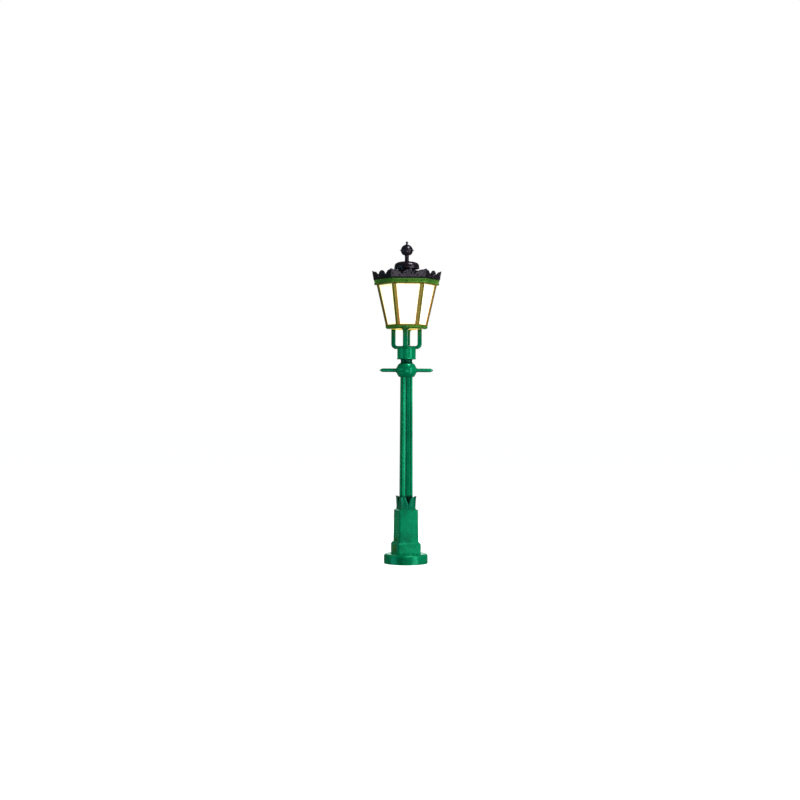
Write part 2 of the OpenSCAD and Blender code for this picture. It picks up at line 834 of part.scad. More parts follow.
module pane_4() pane(3);

module pane_5() pane(4);

module pane_6() pane(5);

module upper_rim() color(green) {
    slope_z = z_up + up_rim_slope;
    difference() {
        union() {
            frustum(z_up, slope_z, up_foot_r, up_r);
            frustum(slope_z, z_hood, up_r, up_r);
        }
        frustum(z_up - 1, z_hood + 1, flange_in_r, flange_in_r);
        frustum(slope_z, z_hood + 1, up_in_r, up_in_r);
        along_y(0, -up_r, latch_z) cylinder(h = 100, r = 4 + run_fit);
    }
}

// ---- Hood hinge and latch ----

module hinge_knuckle(x0, x1) {
    translate([x0, hinge_y, hinge_z]) rotate([0, 90, 0])
        cylinder(h = x1 - x0, r = hinge_pin_d / 2 + 4);
}

module hinge_bore(r) {
    translate([-60, hinge_y, hinge_z]) rotate([0, 90, 0]) cylinder(h = 120, r = r);
}

module hinge_lower() color(green) {
    for (s = [-1, 1]) translate([s * hinge_x, 0, 0]) difference() {
        union() {
            translate([-36, up_flat, hinge_z - 30]) cube([72, 3, 37]);
            for (x = [-36, 12.3]) {
                hinge_knuckle(x, x + 23.7);
                translate([x, up_flat, hinge_z - 7]) cube([23.7, 12, 14]);
            }
        }
        hinge_bore(hinge_pin_d / 2 + seat_fit);
    }
}

module hinge_upper() color(black) {
    for (s = [-1, 1]) translate([s * hinge_x, 0, 0]) difference() {
        union() {
            hinge_knuckle(-12, 12);
            translate([-12, hood_r * c30, hinge_z]) cube([24, 5, z_crest - hinge_z - 0.5]);
        }
        hinge_bore(hinge_pin_d / 2 + run_fit);
    }
}

module hinge_pins() color(steel) {
    for (s = [-1, 1]) translate([s * hinge_x - 36, hinge_y, hinge_z]) rotate([0, 90, 0])
        cylinder(h = 72, r = hinge_pin_d / 2);
}

module latch_knob() color(brass) {
    along_y(0, -up_flat - 13, latch_z) cylinder(h = 12.5, r = latch_knob_d / 2);
    along_y(0, -up_flat - 1, latch_z) cylinder(h = up_flat - latch_y + 12, r = 4);
}

module latch_cam() color(steel) {
    difference() {
        union() {
            along_y(0, -latch_y + 2, latch_z) cylinder(h = 6, r = 8);
            translate([-4, -latch_y + 2, latch_z]) cube([8, 6, latch_reach]);
        }
        along_y(0, -latch_y, latch_z) cylinder(h = 20, r = 4 + seat_fit);
    }
}

// ---- Hood, cresting, dome and finial ----

module hood() color(black) {
    difference() {
        union() {
            frustum(z_hood, z_crest, hood_r, hood_r);
            frustum(z_crest - eps, z_roof, roof_r, roof_top_w / 2);
        }
        frustum(z_hood - 1, z_crest - roof_t + 1, roof_r - 40, roof_r - 40);
        difference() {
            frustum(z_crest - roof_t, z_roof - roof_t, roof_r - 10, roof_top_w / 2 - 10);
            ring_of(3, 150, -90) rod(z_crest + 10, z_roof, 7);
            rod(z_crest - roof_t, z_crest - roof_t + 0.5, 600);
        }
        rod(z_roof - 20, z_roof + 1, 66);
        ring_of(3, 76, -90) rod(z_roof - 20, z_roof + 1, 4 + run_fit);
        ring_of(3, 150, -90) rod(z_crest, z_crest + 30, 3 + run_fit);
    }
}

module hood_keeper() color(steel) {
    translate([latch_reach + 4, -latch_y + 1, latch_z - 12])
        cube([4, 8, z_hood - latch_z + 12]);
    translate([14, -latch_y + 1, latch_z - 12]) cube([latch_reach - 6, 8, 7.5]);
}

module crest_face() {
    w = crest_tip_r;
    lobe = crest_h - 8;
    difference() {
        union() {
            translate([-w, z_crest - 1]) square([2 * w, 25]);
            translate([0, z_crest + 12]) circle(lobe - 12);
            for (s = [-1, 1]) polygon([[s * 92, z_crest + 10], [s * 104, z_crest + 38],
                [s * 140, z_crest + 54], [s * w / 2, z_crest + crest_h - 2],
                [s * (w / 2 + 20), z_crest + crest_h + 20], [s * (w / 2 + 20), z_crest + 10]]);
        }
        translate([-w - 1, z_crest - 200]) square([2 * w + 2, 200]);
        for (s = [-1, 1]) translate([s * 84, z_crest + 36]) circle(12);
    }
}

module cresting() color(black) {
    top = z_crest + crest_h;
    thick = crest_t / c30;
    for (i = [0:5]) intersection() {
        difference() {
            frustum(z_crest, top, crest_r - 2, crest_tip_r);
            frustum(z_crest - eps, top + eps, crest_r - 2 - thick, crest_tip_r - thick);
        }
        rotate([0, 0, 60 * i - 60]) rotate([90, 0, 180]) linear_extrude(height = 400) crest_face();
        sector(i, 600, z_crest - 1, top + 1);
    }
}

module reflector() color([0.95, 0.95, 0.93]) {
    difference() {
        rod(z_crest + 8, z_crest + 10, 200);
        rod(z_crest, z_crest + 20, 70);
        ring_of(3, 150, -90) rod(z_crest, z_crest + 20, 3 + run_fit);
    }
}

module reflector_screws() color(steel) {
    ring_of(3, 150, -90) {
        rod(z_crest + 7, z_crest + 28, 3);
        rod(z_crest + 4, z_crest + 8, 6);
    }
}

module vent_ring() color(black) {
    difference() {
        rod(z_roof, z_seat, vent_d / 2);
        rod(z_roof - 1, z_seat + 1, vent_d / 2 - 4);
        for (a = [0:20:340]) rotate([0, 0, a]) translate([vent_d / 2 - 8, -8, z_roof + 9])
            cube([16, 16, vent_h - 18]);
    }
}

module vent_bolts() color(steel) {
    ring_of(3, 76, -90) {
        rod(z_roof - roof_t - 1, z_seat + 12, 4);
        frustum(z_roof - roof_t - 6, z_roof - roof_t, 7, 7);
    }
}

module dome() color(black) {
    difference() {
        rotate_extrude() difference() {
            union() {
                translate([0, z_dome]) square([dome_d / 2, dome_h - dome_edge_r]);
                translate([0, z_dome]) square([dome_d / 2 - dome_edge_r, dome_h]);
                translate([dome_d / 2 - dome_edge_r, z_stem - dome_edge_r]) circle(dome_edge_r);
            }
            translate([dome_d / 2 - 2 * dome_edge_r, z_dome - dome_edge_r])
                square([2 * dome_edge_r, dome_edge_r]);
        }
        rod(z_dome - 1, z_seat, dome_d / 2 - 7);
        rod(z_dome - 1, z_stem - 12, 66);
        ring_of(3, 76, -90) rod(z_seat - 1, z_seat + 14, 4 + run_fit);
        rod(z_dome, z_stem + 1, 6 + run_fit);
    }
}

module finial_bore() {
    rod(z_stem - 1, z_knob + 12, 6 + run_fit);
}

module finial_stem() color(black) {
    difference() {
        rod(z_stem, z_ball, fin_stem_d / 2);
        finial_bore();
    }
}

module ball_part(z0, z1) {
    difference() {
        intersection() {
            translate([0, 0, fin_mid]) sphere(d = ball_d);
            rod(z0, z1, ball_d);
        }
        finial_bore();
    }
}

module finial_bowl() color(black) ball_part(z_ball, fin_mid - ring_t / 2);

module finial_cap() color(black) ball_part(fin_mid + ring_t / 2, z_knob);

module finial_ring() color(black) {
    difference() {
        rotate_extrude() polygon([[0, fin_mid - ring_t / 2], [ball_d / 2 + 2, fin_mid - ring_t / 2],
            [ring_d / 2, fin_mid - 3], [ring_d / 2, fin_mid + 3],
            [ball_d / 2 + 2, fin_mid + ring_t / 2], [0, fin_mid + ring_t / 2]]);
        finial_bore();
    }
}

module finial_knob() color(black) {
    difference() {
        union() {
            rod(z_knob, z_knob + 12, knob_d * 0.38);
            translate([0, 0, z_knob + 10 + knob_d / 2]) sphere(d = knob_d);
        }
        finial_bore();
    }
}

module finial_rod() color(steel) {
    rod(z_stem - 30, z_knob + 10, 6);
    frustum(z_stem - 22, z_stem - 12, 11, 11);
}

// ---- Wiring ----

module junction_block() color([0.93, 0.92, 0.88]) turned() {
    difference() {
        translate([-38, -34, z_neck_top + 14]) cube([76, 48, block_h]);
        for (x = [-20, 20]) translate([x, -10, 0])
            rod(z_neck_top + block_h + 2, z_neck_top + block_h + 15, 4);
    }
}

// the riser in the post, and the lamp's tail above the junction block
module riser_cable() color([0.08, 0.08, 0.09]) turned() {
    translate([0, -cable_off, 0]) rod(cutout_z + cutout_h, z_neck_top + 14, cable_d / 2);
    rod(z_neck_top + 14 + block_h, holder_foot + 12.2, cable_d / 2);
}

base_drum();
plinth();
pedestal();
tie_bolts();
service_door();
door_hinge_pins();
lock_barrel();
lock_cam();
backboard();
backboard_screws();
cutout_base();
fuse_carrier();
earth_stud();
column();
column_bolts();
leaf_collar();
ladder_boss();
ladder_bar_left();
ladder_bar_right();
neck();
lantern_collar();
collar_grub_screws();
cradle();
cradle_bolts();
lower_rim();
cradle_rim_screws();
floor_pane();
lamp_stem();
lampholder();
lamp();
junction_block();
riser_cable();
corner_bars();
pane_1();
pane_2();
pane_3();
pane_4();
pane_5();
pane_6();
upper_rim();
hinge_lower();
hinge_upper();
hinge_pins();
latch_knob();
latch_cam();
hood();
hood_keeper();
cresting();
reflector();
reflector_screws();
vent_ring();
vent_bolts();
dome();
finial_stem();
finial_bowl();
finial_ring();
finial_cap();
finial_knob();
finial_rod();
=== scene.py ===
import json
from math import atan2, cos, hypot, pi, radians, sin, sqrt, tan

import bmesh
import bpy
from mathutils import Matrix, Vector, noise


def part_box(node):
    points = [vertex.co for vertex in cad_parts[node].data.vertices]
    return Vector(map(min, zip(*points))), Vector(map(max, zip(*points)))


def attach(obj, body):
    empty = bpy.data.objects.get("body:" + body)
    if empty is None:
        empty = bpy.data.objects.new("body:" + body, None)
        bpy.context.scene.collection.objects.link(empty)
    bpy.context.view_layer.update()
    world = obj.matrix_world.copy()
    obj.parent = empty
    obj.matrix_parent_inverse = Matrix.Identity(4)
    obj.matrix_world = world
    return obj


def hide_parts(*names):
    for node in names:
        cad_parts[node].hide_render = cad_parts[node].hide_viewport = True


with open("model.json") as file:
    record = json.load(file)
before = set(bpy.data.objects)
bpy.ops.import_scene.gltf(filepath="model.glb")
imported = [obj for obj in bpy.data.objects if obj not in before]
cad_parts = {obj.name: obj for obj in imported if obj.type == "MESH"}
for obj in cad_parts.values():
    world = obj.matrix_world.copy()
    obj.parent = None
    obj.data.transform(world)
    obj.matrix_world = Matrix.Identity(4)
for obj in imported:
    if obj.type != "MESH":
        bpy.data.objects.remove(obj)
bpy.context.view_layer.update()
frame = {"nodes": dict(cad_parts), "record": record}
NODES = frame["nodes"]
BODY_OF = {n: b for b, ns in frame["record"]["behaviour"]["bodies"].items() for n in ns}
SLOT_OF = {s["node"]: s["material_slot"] for s in frame["record"]["subparts"]}

POST_TURN = radians(15)  # the pedestal is turned under the lantern
C30 = cos(radians(30))
POST, HOOD = ("post", "green_iron"), ("hood", "black_iron")  # body and material slot
GREEN, BLACK = ("green_iron", *POST), ("black_iron", *HOOD)  # the same with their paint


# ---------------------------------------------------------------- materials

def node_tree(name):
    mat = bpy.data.materials.new(name)
    mat.use_nodes = True
    nt = mat.node_tree
    nt.nodes.clear()
    out = nt.nodes.new("ShaderNodeOutputMaterial")
    bsdf = nt.nodes.new("ShaderNodeBsdfPrincipled")
    nt.links.new(bsdf.outputs[0], out.inputs[0])
    return mat, nt, bsdf


def add(nt, kind, **values):
    n = nt.nodes.new(kind)
    for key, value in values.items():
        if key in n.inputs:
            n.inputs[key].default_value = value
        else:
            setattr(n, key, value)
    return n


def noise_tex(nt, coords, scale, detail=4.0, rough=0.55):
    n = add(nt, "ShaderNodeTexNoise", Scale=scale, Detail=detail, Roughness=rough)
    nt.links.new(coords, n.inputs["Vector"])
    return n.outputs["Fac"]


def ramp(nt, fac, stops):
    n = nt.nodes.new("ShaderNodeValToRGB")
    el = n.color_ramp.elements
    while len(el) < len(stops):
        el.new(0.5)
    for e, (pos, col) in zip(el, stops):
        e.position = pos
        e.color = (*col, 1) if len(col) == 3 else col
    nt.links.new(fac, n.inputs["Fac"])
    return n.outputs["Color"]


def to_range(nt, fac, lo, hi, a, b):
    n = add(nt, "ShaderNodeMapRange", **{"From Min": lo, "From Max": hi, "To Min": a, "To Max": b})
    nt.links.new(fac, n.inputs["Value"])
    return n.outputs["Result"]


def mix_color(nt, fac, a, b, mode="MIX"):
    n = nt.nodes.new("ShaderNodeMix")
    n.data_type = "RGBA"
    n.blend_type = mode
    for value, socket in ((fac, n.inputs[0]), (a, n.inputs[6]), (b, n.inputs[7])):
        if isinstance(value, bpy.types.NodeSocket):
            nt.links.new(value, socket)
        elif isinstance(value, (int, float)):
            socket.default_value = value
        else:
            socket.default_value = (*value, 1)
    return n.outputs[2]


def math_node(nt, op, a, b=0.0):
    n = nt.nodes.new("ShaderNodeMath")
    n.operation = op
    for value, socket in ((a, n.inputs[0]), (b, n.inputs[1])):
        if isinstance(value, bpy.types.NodeSocket):
            nt.links.new(value, socket)
        else:
            socket.default_value = value
    return n.outputs[0]


def bump(nt, bsdf, height, strength, distance, under=None):
    n = add(nt, "ShaderNodeBump", Strength=strength, Distance=distance)
    nt.links.new(height, n.inputs["Height"])
    if under is not None:
        nt.links.new(under, n.inputs["Normal"])
    if bsdf is not None:
        nt.links.new(n.outputs[0], bsdf.inputs["Normal"])
    return n.outputs[0]


def object_coords(nt):
    return nt.nodes.new("ShaderNodeTexCoord").outputs["Object"]


def axes(nt, co):
    sep = nt.nodes.new("ShaderNodeSeparateXYZ")
    nt.links.new(co, sep.inputs[0])
    return [sep.outputs[axis] for axis in "XYZ"]


def iron_paint(name, deep, body, light, rough=0.25, sheen=0.30, tint=(0.14, 1.0, 0.72), painted_light_and_shade=None):
    """Brush-painted cast iron: uneven tone, cast pitting under the paint, dirt and painted shade in hollows,
    worn edges.
    """
    mat, nt, bsdf = node_tree(name)
    co = object_coords(nt)
    broad = noise_tex(nt, co, 5.0, 3)
    mottled = noise_tex(nt, co, 38.0, 4, 0.5)
    tone = ramp(nt, broad, [(0.30, deep), (0.52, body), (0.74, light)])
    speck = ramp(nt, mottled, [(0.30, (0.80, 0.84, 0.88)), (0.62, (1.04, 1.03, 1.0))])
    color = mix_color(nt, 0.5, tone, speck, "MULTIPLY")
    # painted light and shade that some paints carry on top of their own colour
    if painted_light_and_shade:
        color = painted_light_and_shade(nt, co, color)
    geo = nt.nodes.new("ShaderNodeNewGeometry")
    edge = to_range(nt, geo.outputs["Pointiness"], 0.53, 0.60, 0.0, 1.0)
    chip = to_range(nt, noise_tex(nt, co, 90.0, 5, 0.6), 0.55, 0.68, 0.0, 1.0)
    worn = math_node(nt, "MULTIPLY", edge, chip)
    rubbed = tuple(min(1, c * 2.2 + 0.01) for c in light)
    color = mix_color(nt, math_node(nt, "MULTIPLY", worn, 0.5), color, rubbed)
    # dirt and painted shade: the paint darkens where the surface is hollow
    hollow = to_range(nt, geo.outputs["Pointiness"], 0.42, 0.495, 0.55, 0.0)
    color = mix_color(nt, hollow, color, tuple(c * 0.3 for c in deep))
    nt.links.new(color, bsdf.inputs["Base Color"])
    nt.links.new(to_range(nt, mottled, 0.3, 0.7, rough * 0.88, rough * 1.15), bsdf.inputs["Roughness"])
    bsdf.inputs["Metallic"].default_value = sheen
    bsdf.inputs["Specular IOR Level"].default_value = 0.45
    bsdf.inputs["Specular Tint"].default_value = (*tint, 1)
    bsdf.inputs["Coat Weight"].default_value = 0.05
    bsdf.inputs["Coat Roughness"].default_value = 0.12
    pits = bump(nt, None, noise_tex(nt, co, 55.0, 4, 0.55), 0.10, 0.0010)
    bump(nt, bsdf, noise_tex(nt, co, 260.0, 2), 0.06, 0.0003, pits)
    return mat


def face_share(nt, co):
    """Where a point lies across one face of the hexagon: 0 in its middle, 1 at its corners."""
    x, y, _ = axes(nt, co)
    turn = math_node(nt, "MULTIPLY", math_node(nt, "ARCTAN2", y, x), 3 / pi)
    share = math_node(nt, "ABSOLUTE", math_node(nt, "SUBTRACT", math_node(nt, "FRACT", turn), 0.5))
    return math_node(nt, "MULTIPLY", share, 2.0)


def height_share(nt, co):
    """How far a point lies above or below the middle of the glazing: 1 at the glass's ends."""
    off = math_node(nt, "ABSOLUTE", math_node(nt, "SUBTRACT", axes(nt, co)[2], PANE_MID))
    return math_node(nt, "DIVIDE", off, PANE_HALF)


def lamp_glow_rim(nt, co, color):
    """Painted lamp light: olive-gold on the rims' edges next to the glass, where the lamp lights them."""
    near = to_range(nt, height_share(nt, co), 1.015, 1.075, 0.95, 0.0)
    return mix_color(nt, near, color, (0.200, 0.085, 0.006))


def lamp_glow_bar(nt, co, color):
    """Painted lamp light: red-brown edges along the glass on the corner bars."""
    near = to_range(nt, face_share(nt, co), 0.80, 0.88, 1.0, 0.0)
    return mix_color(nt, near, color, (0.300, 0.075, 0.010))


def lamp_glow_arms(nt, co, color):
    """Painted lamp light: yellow-green towards the heads of the cradle's arms."""
    near = to_range(nt, axes(nt, co)[2], RIM_FOOT_Z - 0.10, RIM_FOOT_Z + 0.02, 0.0, 0.75)
    return mix_color(nt, near, color, (0.045, 0.110, 0.006))


def flute_and_foot_shade(nt, co, color):
    """Painted shade: dark in the bottom of each flute and down behind the leaves."""
    x, y, z = axes(nt, co)
    turn = math_node(nt, "ADD", math_node(nt, "ARCTAN2", y, x), pi / 2 - FLUTE_TURN)
    turn = math_node(nt, "MULTIPLY", turn, FLUTES / (2 * pi))
    share = math_node(nt, "FRACT", math_node(nt, "ADD", turn, 0.5))
    off = math_node(nt, "ABSOLUTE", math_node(nt, "SUBTRACT", share, 0.5))
    bottom = to_range(nt, off, 0.07, 0.20, 0.90, 0.0)
    behind = to_range(nt, z, LEAF_TOP_Z - 0.010, LEAF_TOP_Z + 0.015, 0.97, 0.0)
    return mix_color(nt, math_node(nt, "MAXIMUM", bottom, behind), color, (0.000, 0.012, 0.008))


def metal(name, base, rough, tarnish):
    mat, nt, bsdf = node_tree(name)
    co = object_coords(nt)
    tone = noise_tex(nt, co, 30.0, 6, 0.6)
    bright = tuple(min(1, c * 1.12) for c in base)
    color = ramp(nt, tone, [(0.30, tarnish), (0.50, base), (0.75, bright)])
    nt.links.new(color, bsdf.inputs["Base Color"])
    nt.links.new(to_range(nt, tone, 0.3, 0.7, rough * 1.4, rough * 0.8), bsdf.inputs["Roughness"])
    bsdf.inputs["Metallic"].default_value = 1.0
    bump(nt, bsdf, noise_tex(nt, co, 160.0, 4), 0.08, 0.0004)
    return mat


def plain(name, base, dark, rough=0.4, scale=60.0, coat=0.0, relief=0.1):
    mat, nt, bsdf = node_tree(name)
    co = object_coords(nt)
    tone = noise_tex(nt, co, scale, 5)
    nt.links.new(ramp(nt, tone, [(0.3, dark), (0.62, base)]), bsdf.inputs["Base Color"])
    nt.links.new(to_range(nt, tone, 0.3, 0.7, rough * 1.25, rough * 0.8), bsdf.inputs["Roughness"])
    bsdf.inputs["Coat Weight"].default_value = coat
    bump(nt, bsdf, noise_tex(nt, co, scale * 5, 3), relief, 0.0004)
    return mat


def wood(name):
    mat, nt, bsdf = node_tree(name)
    co = object_coords(nt)
    stretch = add(nt, "ShaderNodeMapping")
    stretch.inputs["Scale"].default_value = (14, 14, 1.6)
    nt.links.new(co, stretch.inputs["Vector"])
    grain = add(nt, "ShaderNodeTexNoise", Scale=6.0, Detail=8.0, Roughness=0.65, Distortion=1.2)
    nt.links.new(stretch.outputs[0], grain.inputs["Vector"])
    stops = [(0.3, (0.14, 0.07, 0.03)), (0.55, (0.34, 0.19, 0.09)), (0.7, (0.44, 0.27, 0.13))]
    nt.links.new(ramp(nt, grain.outputs["Fac"], stops), bsdf.inputs["Base Color"])
    nt.links.new(to_range(nt, grain.outputs["Fac"], 0.3, 0.7, 0.55, 0.38), bsdf.inputs["Roughness"])
    bump(nt, bsdf, grain.outputs["Fac"], 0.25, 0.0008)
    return mat


def opal(name, strength=1.0, edges=True, middle=(1.0, 0.955, 0.78), rim=(1.0, 0.86, 0.46)):
    """Opal glass lit from behind: white in the middle, pale yellow towards its frame."""
    mat, nt, bsdf = node_tree(name)
    co = object_coords(nt)
    ripple = noise_tex(nt, co, 9.0, 3)
    if edges:
        across = to_range(nt, face_share(nt, co), 0.44, 0.80, 0.0, 1.0)
        along = to_range(nt, height_share(nt, co), 0.72, 0.98, 0.0, 1.0)
        near = math_node(nt, "MAXIMUM", across, along)
    else:
        near = to_range(nt, ripple, 0.3, 0.7, 0.5, 0.9)
    sway = math_node(nt, "MULTIPLY", math_node(nt, "SUBTRACT", ripple, 0.5), 0.5)
    uneven = math_node(nt, "ADD", near, sway)
    glow = ramp(nt, uneven, [(0.15, (0.98, 0.97, 0.98)), (0.60, middle), (1.0, rim)])
    nt.links.new(mix_color(nt, 0.5, (0.30, 0.29, 0.27), glow), bsdf.inputs["Base Color"])
    nt.links.new(glow, bsdf.inputs["Emission Color"])
    bsdf.inputs["Emission Strength"].default_value = strength
    nt.links.new(to_range(nt, ripple, 0.3, 0.7, 0.22, 0.34), bsdf.inputs["Roughness"])
    bump(nt, bsdf, ripple, 0.10, 0.002)
    return mat


FLUTES, FLUTE_DEPTH, FLUTE_R, FLUTE_TURN = 6, 0.0195, 0.078, radians(-6)
PANE_LO, PANE_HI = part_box("pane_1")
RIM_FOOT_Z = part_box("lower_rim")[0].z
LEAF_TOP_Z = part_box("leaf_collar")[1].z
PANE_MID = (PANE_LO.z + PANE_HI.z) / 2
PANE_HALF = (PANE_HI.z - PANE_LO.z) / 2

# paint: its deep, usual and light tone, then what differs from plain green paint
PAINTS = {
    "green_iron": ((0.000, 0.130, 0.052), (0.000, 0.200, 0.080), (0.003, 0.250, 0.100), {}),
    # the column's paint carries painted shade in its flutes and behind the leaves
    "column_shaded_green": ((0.000, 0.150, 0.060), (0.000, 0.220, 0.090), (0.004, 0.280, 0.115),
                     {"painted_light_and_shade": flute_and_foot_shade}),
    # a darker copy of the green paint: painted shade on the leaf collar
    "shaded_leaf_green": ((0.000, 0.070, 0.034), (0.000, 0.115, 0.052), (0.003, 0.165, 0.072), {}),
    # a near-black copy of the green paint: painted shadow on the neck under the collar
    "shaded_neck_green": ((0.000, 0.022, 0.012), (0.001, 0.040, 0.020), (0.002, 0.062, 0.030), {}),
    # a yellow-green copy of the green paint: painted light on the bosses of the left faces
    "lit_boss_green": ((0.030, 0.110, 0.010), (0.045, 0.150, 0.014), (0.065, 0.190, 0.020), {}),
    # arm paint with painted lamp light towards the arms' heads
    "lamplit_arm_green": ((0.000, 0.115, 0.045), (0.000, 0.180, 0.070), (0.004, 0.235, 0.090),
                  {"painted_light_and_shade": lamp_glow_arms}),
    # a lit copy of the green paint: painted lamp light on the rims, stronger at their edges by the glass
    "lit_green": ((0.025, 0.100, 0.010), (0.058, 0.180, 0.018), (0.105, 0.235, 0.022),
                  {"tint": (0.8, 1.0, 0.6), "painted_light_and_shade": lamp_glow_rim}),
    # a gold-olive copy of the green paint: painted lamp light on the corner bars
    "lamplit_bar_green": ((0.090, 0.078, 0.003), (0.130, 0.100, 0.004), (0.160, 0.130, 0.006),
                   {"tint": (1.0, 0.9, 0.5), "painted_light_and_shade": lamp_glow_bar}),
    "black_iron": ((0.003, 0.002, 0.003), (0.006, 0.004, 0.006), (0.016, 0.010, 0.014),
                   {"rough": 0.22, "sheen": 0.0, "tint": (0.9, 0.8, 1.0)}),
}
M = {name: iron_paint(name, *tones, **rest) for name, (*tones, rest) in PAINTS.items()}
M |= {
    "plain_steel": metal("plain_steel", (0.52, 0.53, 0.55), 0.34, (0.30, 0.29, 0.28)),
    "brass": metal("brass", (0.72, 0.50, 0.20), 0.28, (0.30, 0.19, 0.08)),
    "opal_glass": opal("opal_glass", 0.84),
    "floor_glass": opal("floor_glass", 0.9, False, (1.0, 0.78, 0.02), (1.0, 0.42, 0.02)),
    "lamp_glass": opal("lamp_glass", 2.0, False),
    "porcelain": plain("porcelain", (0.80, 0.79, 0.74), (0.62, 0.60, 0.54), 0.16, 40.0, 0.5),
    "bakelite": plain("bakelite", (0.030, 0.024, 0.022), (0.012, 0.010, 0.010), 0.30, 90.0, 0.2),
    "board_wood": wood("board_wood"),
    "white_enamel": plain("white_enamel", (0.84, 0.84, 0.80), (0.68, 0.66, 0.60), 0.20, 25.0, 0.4),
    "cable_rubber": plain("cable_rubber", (0.02, 0.02, 0.02), (0.01, 0.01, 0.01), 0.55, 120.0, 0.0, 0.3),
}


# ---------------------------------------------------------------- mesh helpers

FILLET_STEPS = 4
BEAD_SEGS = 10
HEX_CORNER = 0.004  # how far a hexagon's corners are cut back for their rounding


def linked(name, data):
    o = bpy.data.objects.new(name, data)
    bpy.context.scene.collection.objects.link(o)
    return o


def evaluated(o):
    """The object's mesh with its modifiers applied."""
    dg = bpy.context.evaluated_depsgraph_get()
    return bpy.data.meshes.new_from_object(o.evaluated_get(dg))


def smooth(me, angle=35):
    me.shade_smooth()
    me.set_sharp_from_angle(angle=radians(angle))


def flat_faces(o):
    """Weigh the normals by face size, so that broad flat faces stay flat between rounded edges."""
    o.modifiers.new("weigh", "WEIGHTED_NORMAL").keep_sharp = True
    done = evaluated(o)
    o.modifiers.clear()
    o.data = done


def piece(name, me, mat, body, slot, replaces=(), angle=35):
    """A finished piece: smooth shading with real edges kept, its material and its body. The slot argument is
    not used.
    """
    o = linked(name, me)
    me.materials.clear()
    me.materials.append(M[mat])
    smooth(me, angle)
    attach(o, body)
    if replaces:
        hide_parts(*replaces)
    return o


def mesh_from(name, verts, faces):
    me = bpy.data.meshes.new(name)
    me.from_pydata(verts, [], faces)
    bm = bmesh.new()
    bm.from_mesh(me)
    bmesh.ops.remove_doubles(bm, verts=bm.verts, dist=1e-6)
    bmesh.ops.recalc_face_normals(bm, faces=bm.faces)
    bm.to_mesh(me)
    bm.free()
    return me


def circle_turns(n):
    return [2 * pi * j / n for j in range(n)]


def loop_surface(loops, closed_v=True):
    """Vertices and quads of a grid of points; each loop is one row."""
    n, m = len(loops), len(loops[0])
    verts = [p for row in loops for p in row]
    faces = []
    for i in range(n if closed_v else n - 1):
        for j in range(m):
            a, b = i * m + j, i * m + (j + 1) % m
            c, d = (i + 1) % n * m + (j + 1) % m, (i + 1) % n * m + j
            faces.append((a, b, c, d))
    return verts, faces


def closed_solid(loops):
    """The surface through a row of loops with a flat cap on each end."""
    verts, faces = loop_surface(loops, closed_v=False)
    n, last = len(loops[0]), len(verts) - len(loops[-1])
    return verts, faces + [tuple(range(n)), tuple(range(len(verts) - 1, last - 1, -1))]


def curve_point(p0, p1, p2, t):
    """A point of the curve from p0 to p2 that bends towards p1."""
    return (1 - t) ** 2 * p0 + 2 * t * (1 - t) * p1 + t ** 2 * p2


def fillet(points, radius):
    """A closed outline with each corner rounded; points are (r, z) or (r, z, own radius)."""
    out = []
    n = len(points)
    for i, p in enumerate(points):
        rad = p[2] if len(p) > 2 else radius
        p0, p1, p2 = Vector(points[i - 1][:2]), Vector(p[:2]), Vector(points[(i + 1) % n][:2])
        a, b = p0 - p1, p2 - p1
        if rad <= 0 or a.length < 1e-6 or b.length < 1e-6:
            out.append(p1)
            continue
        cut = min(rad, a.length * 0.45, b.length * 0.45)
        s, e = p1 + a.normalized() * cut, p1 + b.normalized() * cut
        out += [curve_point(s, p1, e, k / FILLET_STEPS) for k in range(FILLET_STEPS + 1)]
    return out


def lathe_mesh(name, outline, segs=96, radius=0.002):
    """A closed outline in (r, z), metres, turned about Z with every corner rounded."""
    turns = circle_turns(segs)
    loops = [[(max(p.x, 0) * cos(a), max(p.x, 0) * sin(a), p.y) for a in turns]
             for p in fillet(outline, radius)]
    return mesh_from(name, *loop_surface(loops))


def hex_mesh(name, outline, radius=0.002):
    """A closed outline in (corner radius, z) swept round a hexagon, its corners slightly rounded."""
    loops = []
    for p in fillet(outline, radius):
        row = []
        for k in range(6):
            turns = (pi * (k + d) / 3 for d in (-1, 0, 1))
            v0, v1, v2 = (Vector((p.x * cos(a), p.x * sin(a))) for a in turns)
            cut = min(HEX_CORNER, p.x * 0.2)
            s, e = v1 + (v0 - v1).normalized() * cut, v1 + (v2 - v1).normalized() * cut
            row += [(*curve_point(s, v1, e, t), p.y) for t in (0.0, 0.33, 0.67, 1.0)]
        loops.append(row)
    return mesh_from(name, *loop_surface(loops))


def node_bmesh(node):
    bm = bmesh.new()
    bm.from_mesh(NODES[node].data)
    bmesh.ops.remove_doubles(bm, verts=bm.verts, dist=2e-6)
    return bm


def linked_copy(name, bm):
    me = bpy.data.meshes.new(name)
    bm.to_mesh(me)
    bm.free()
    return linked(name, me)


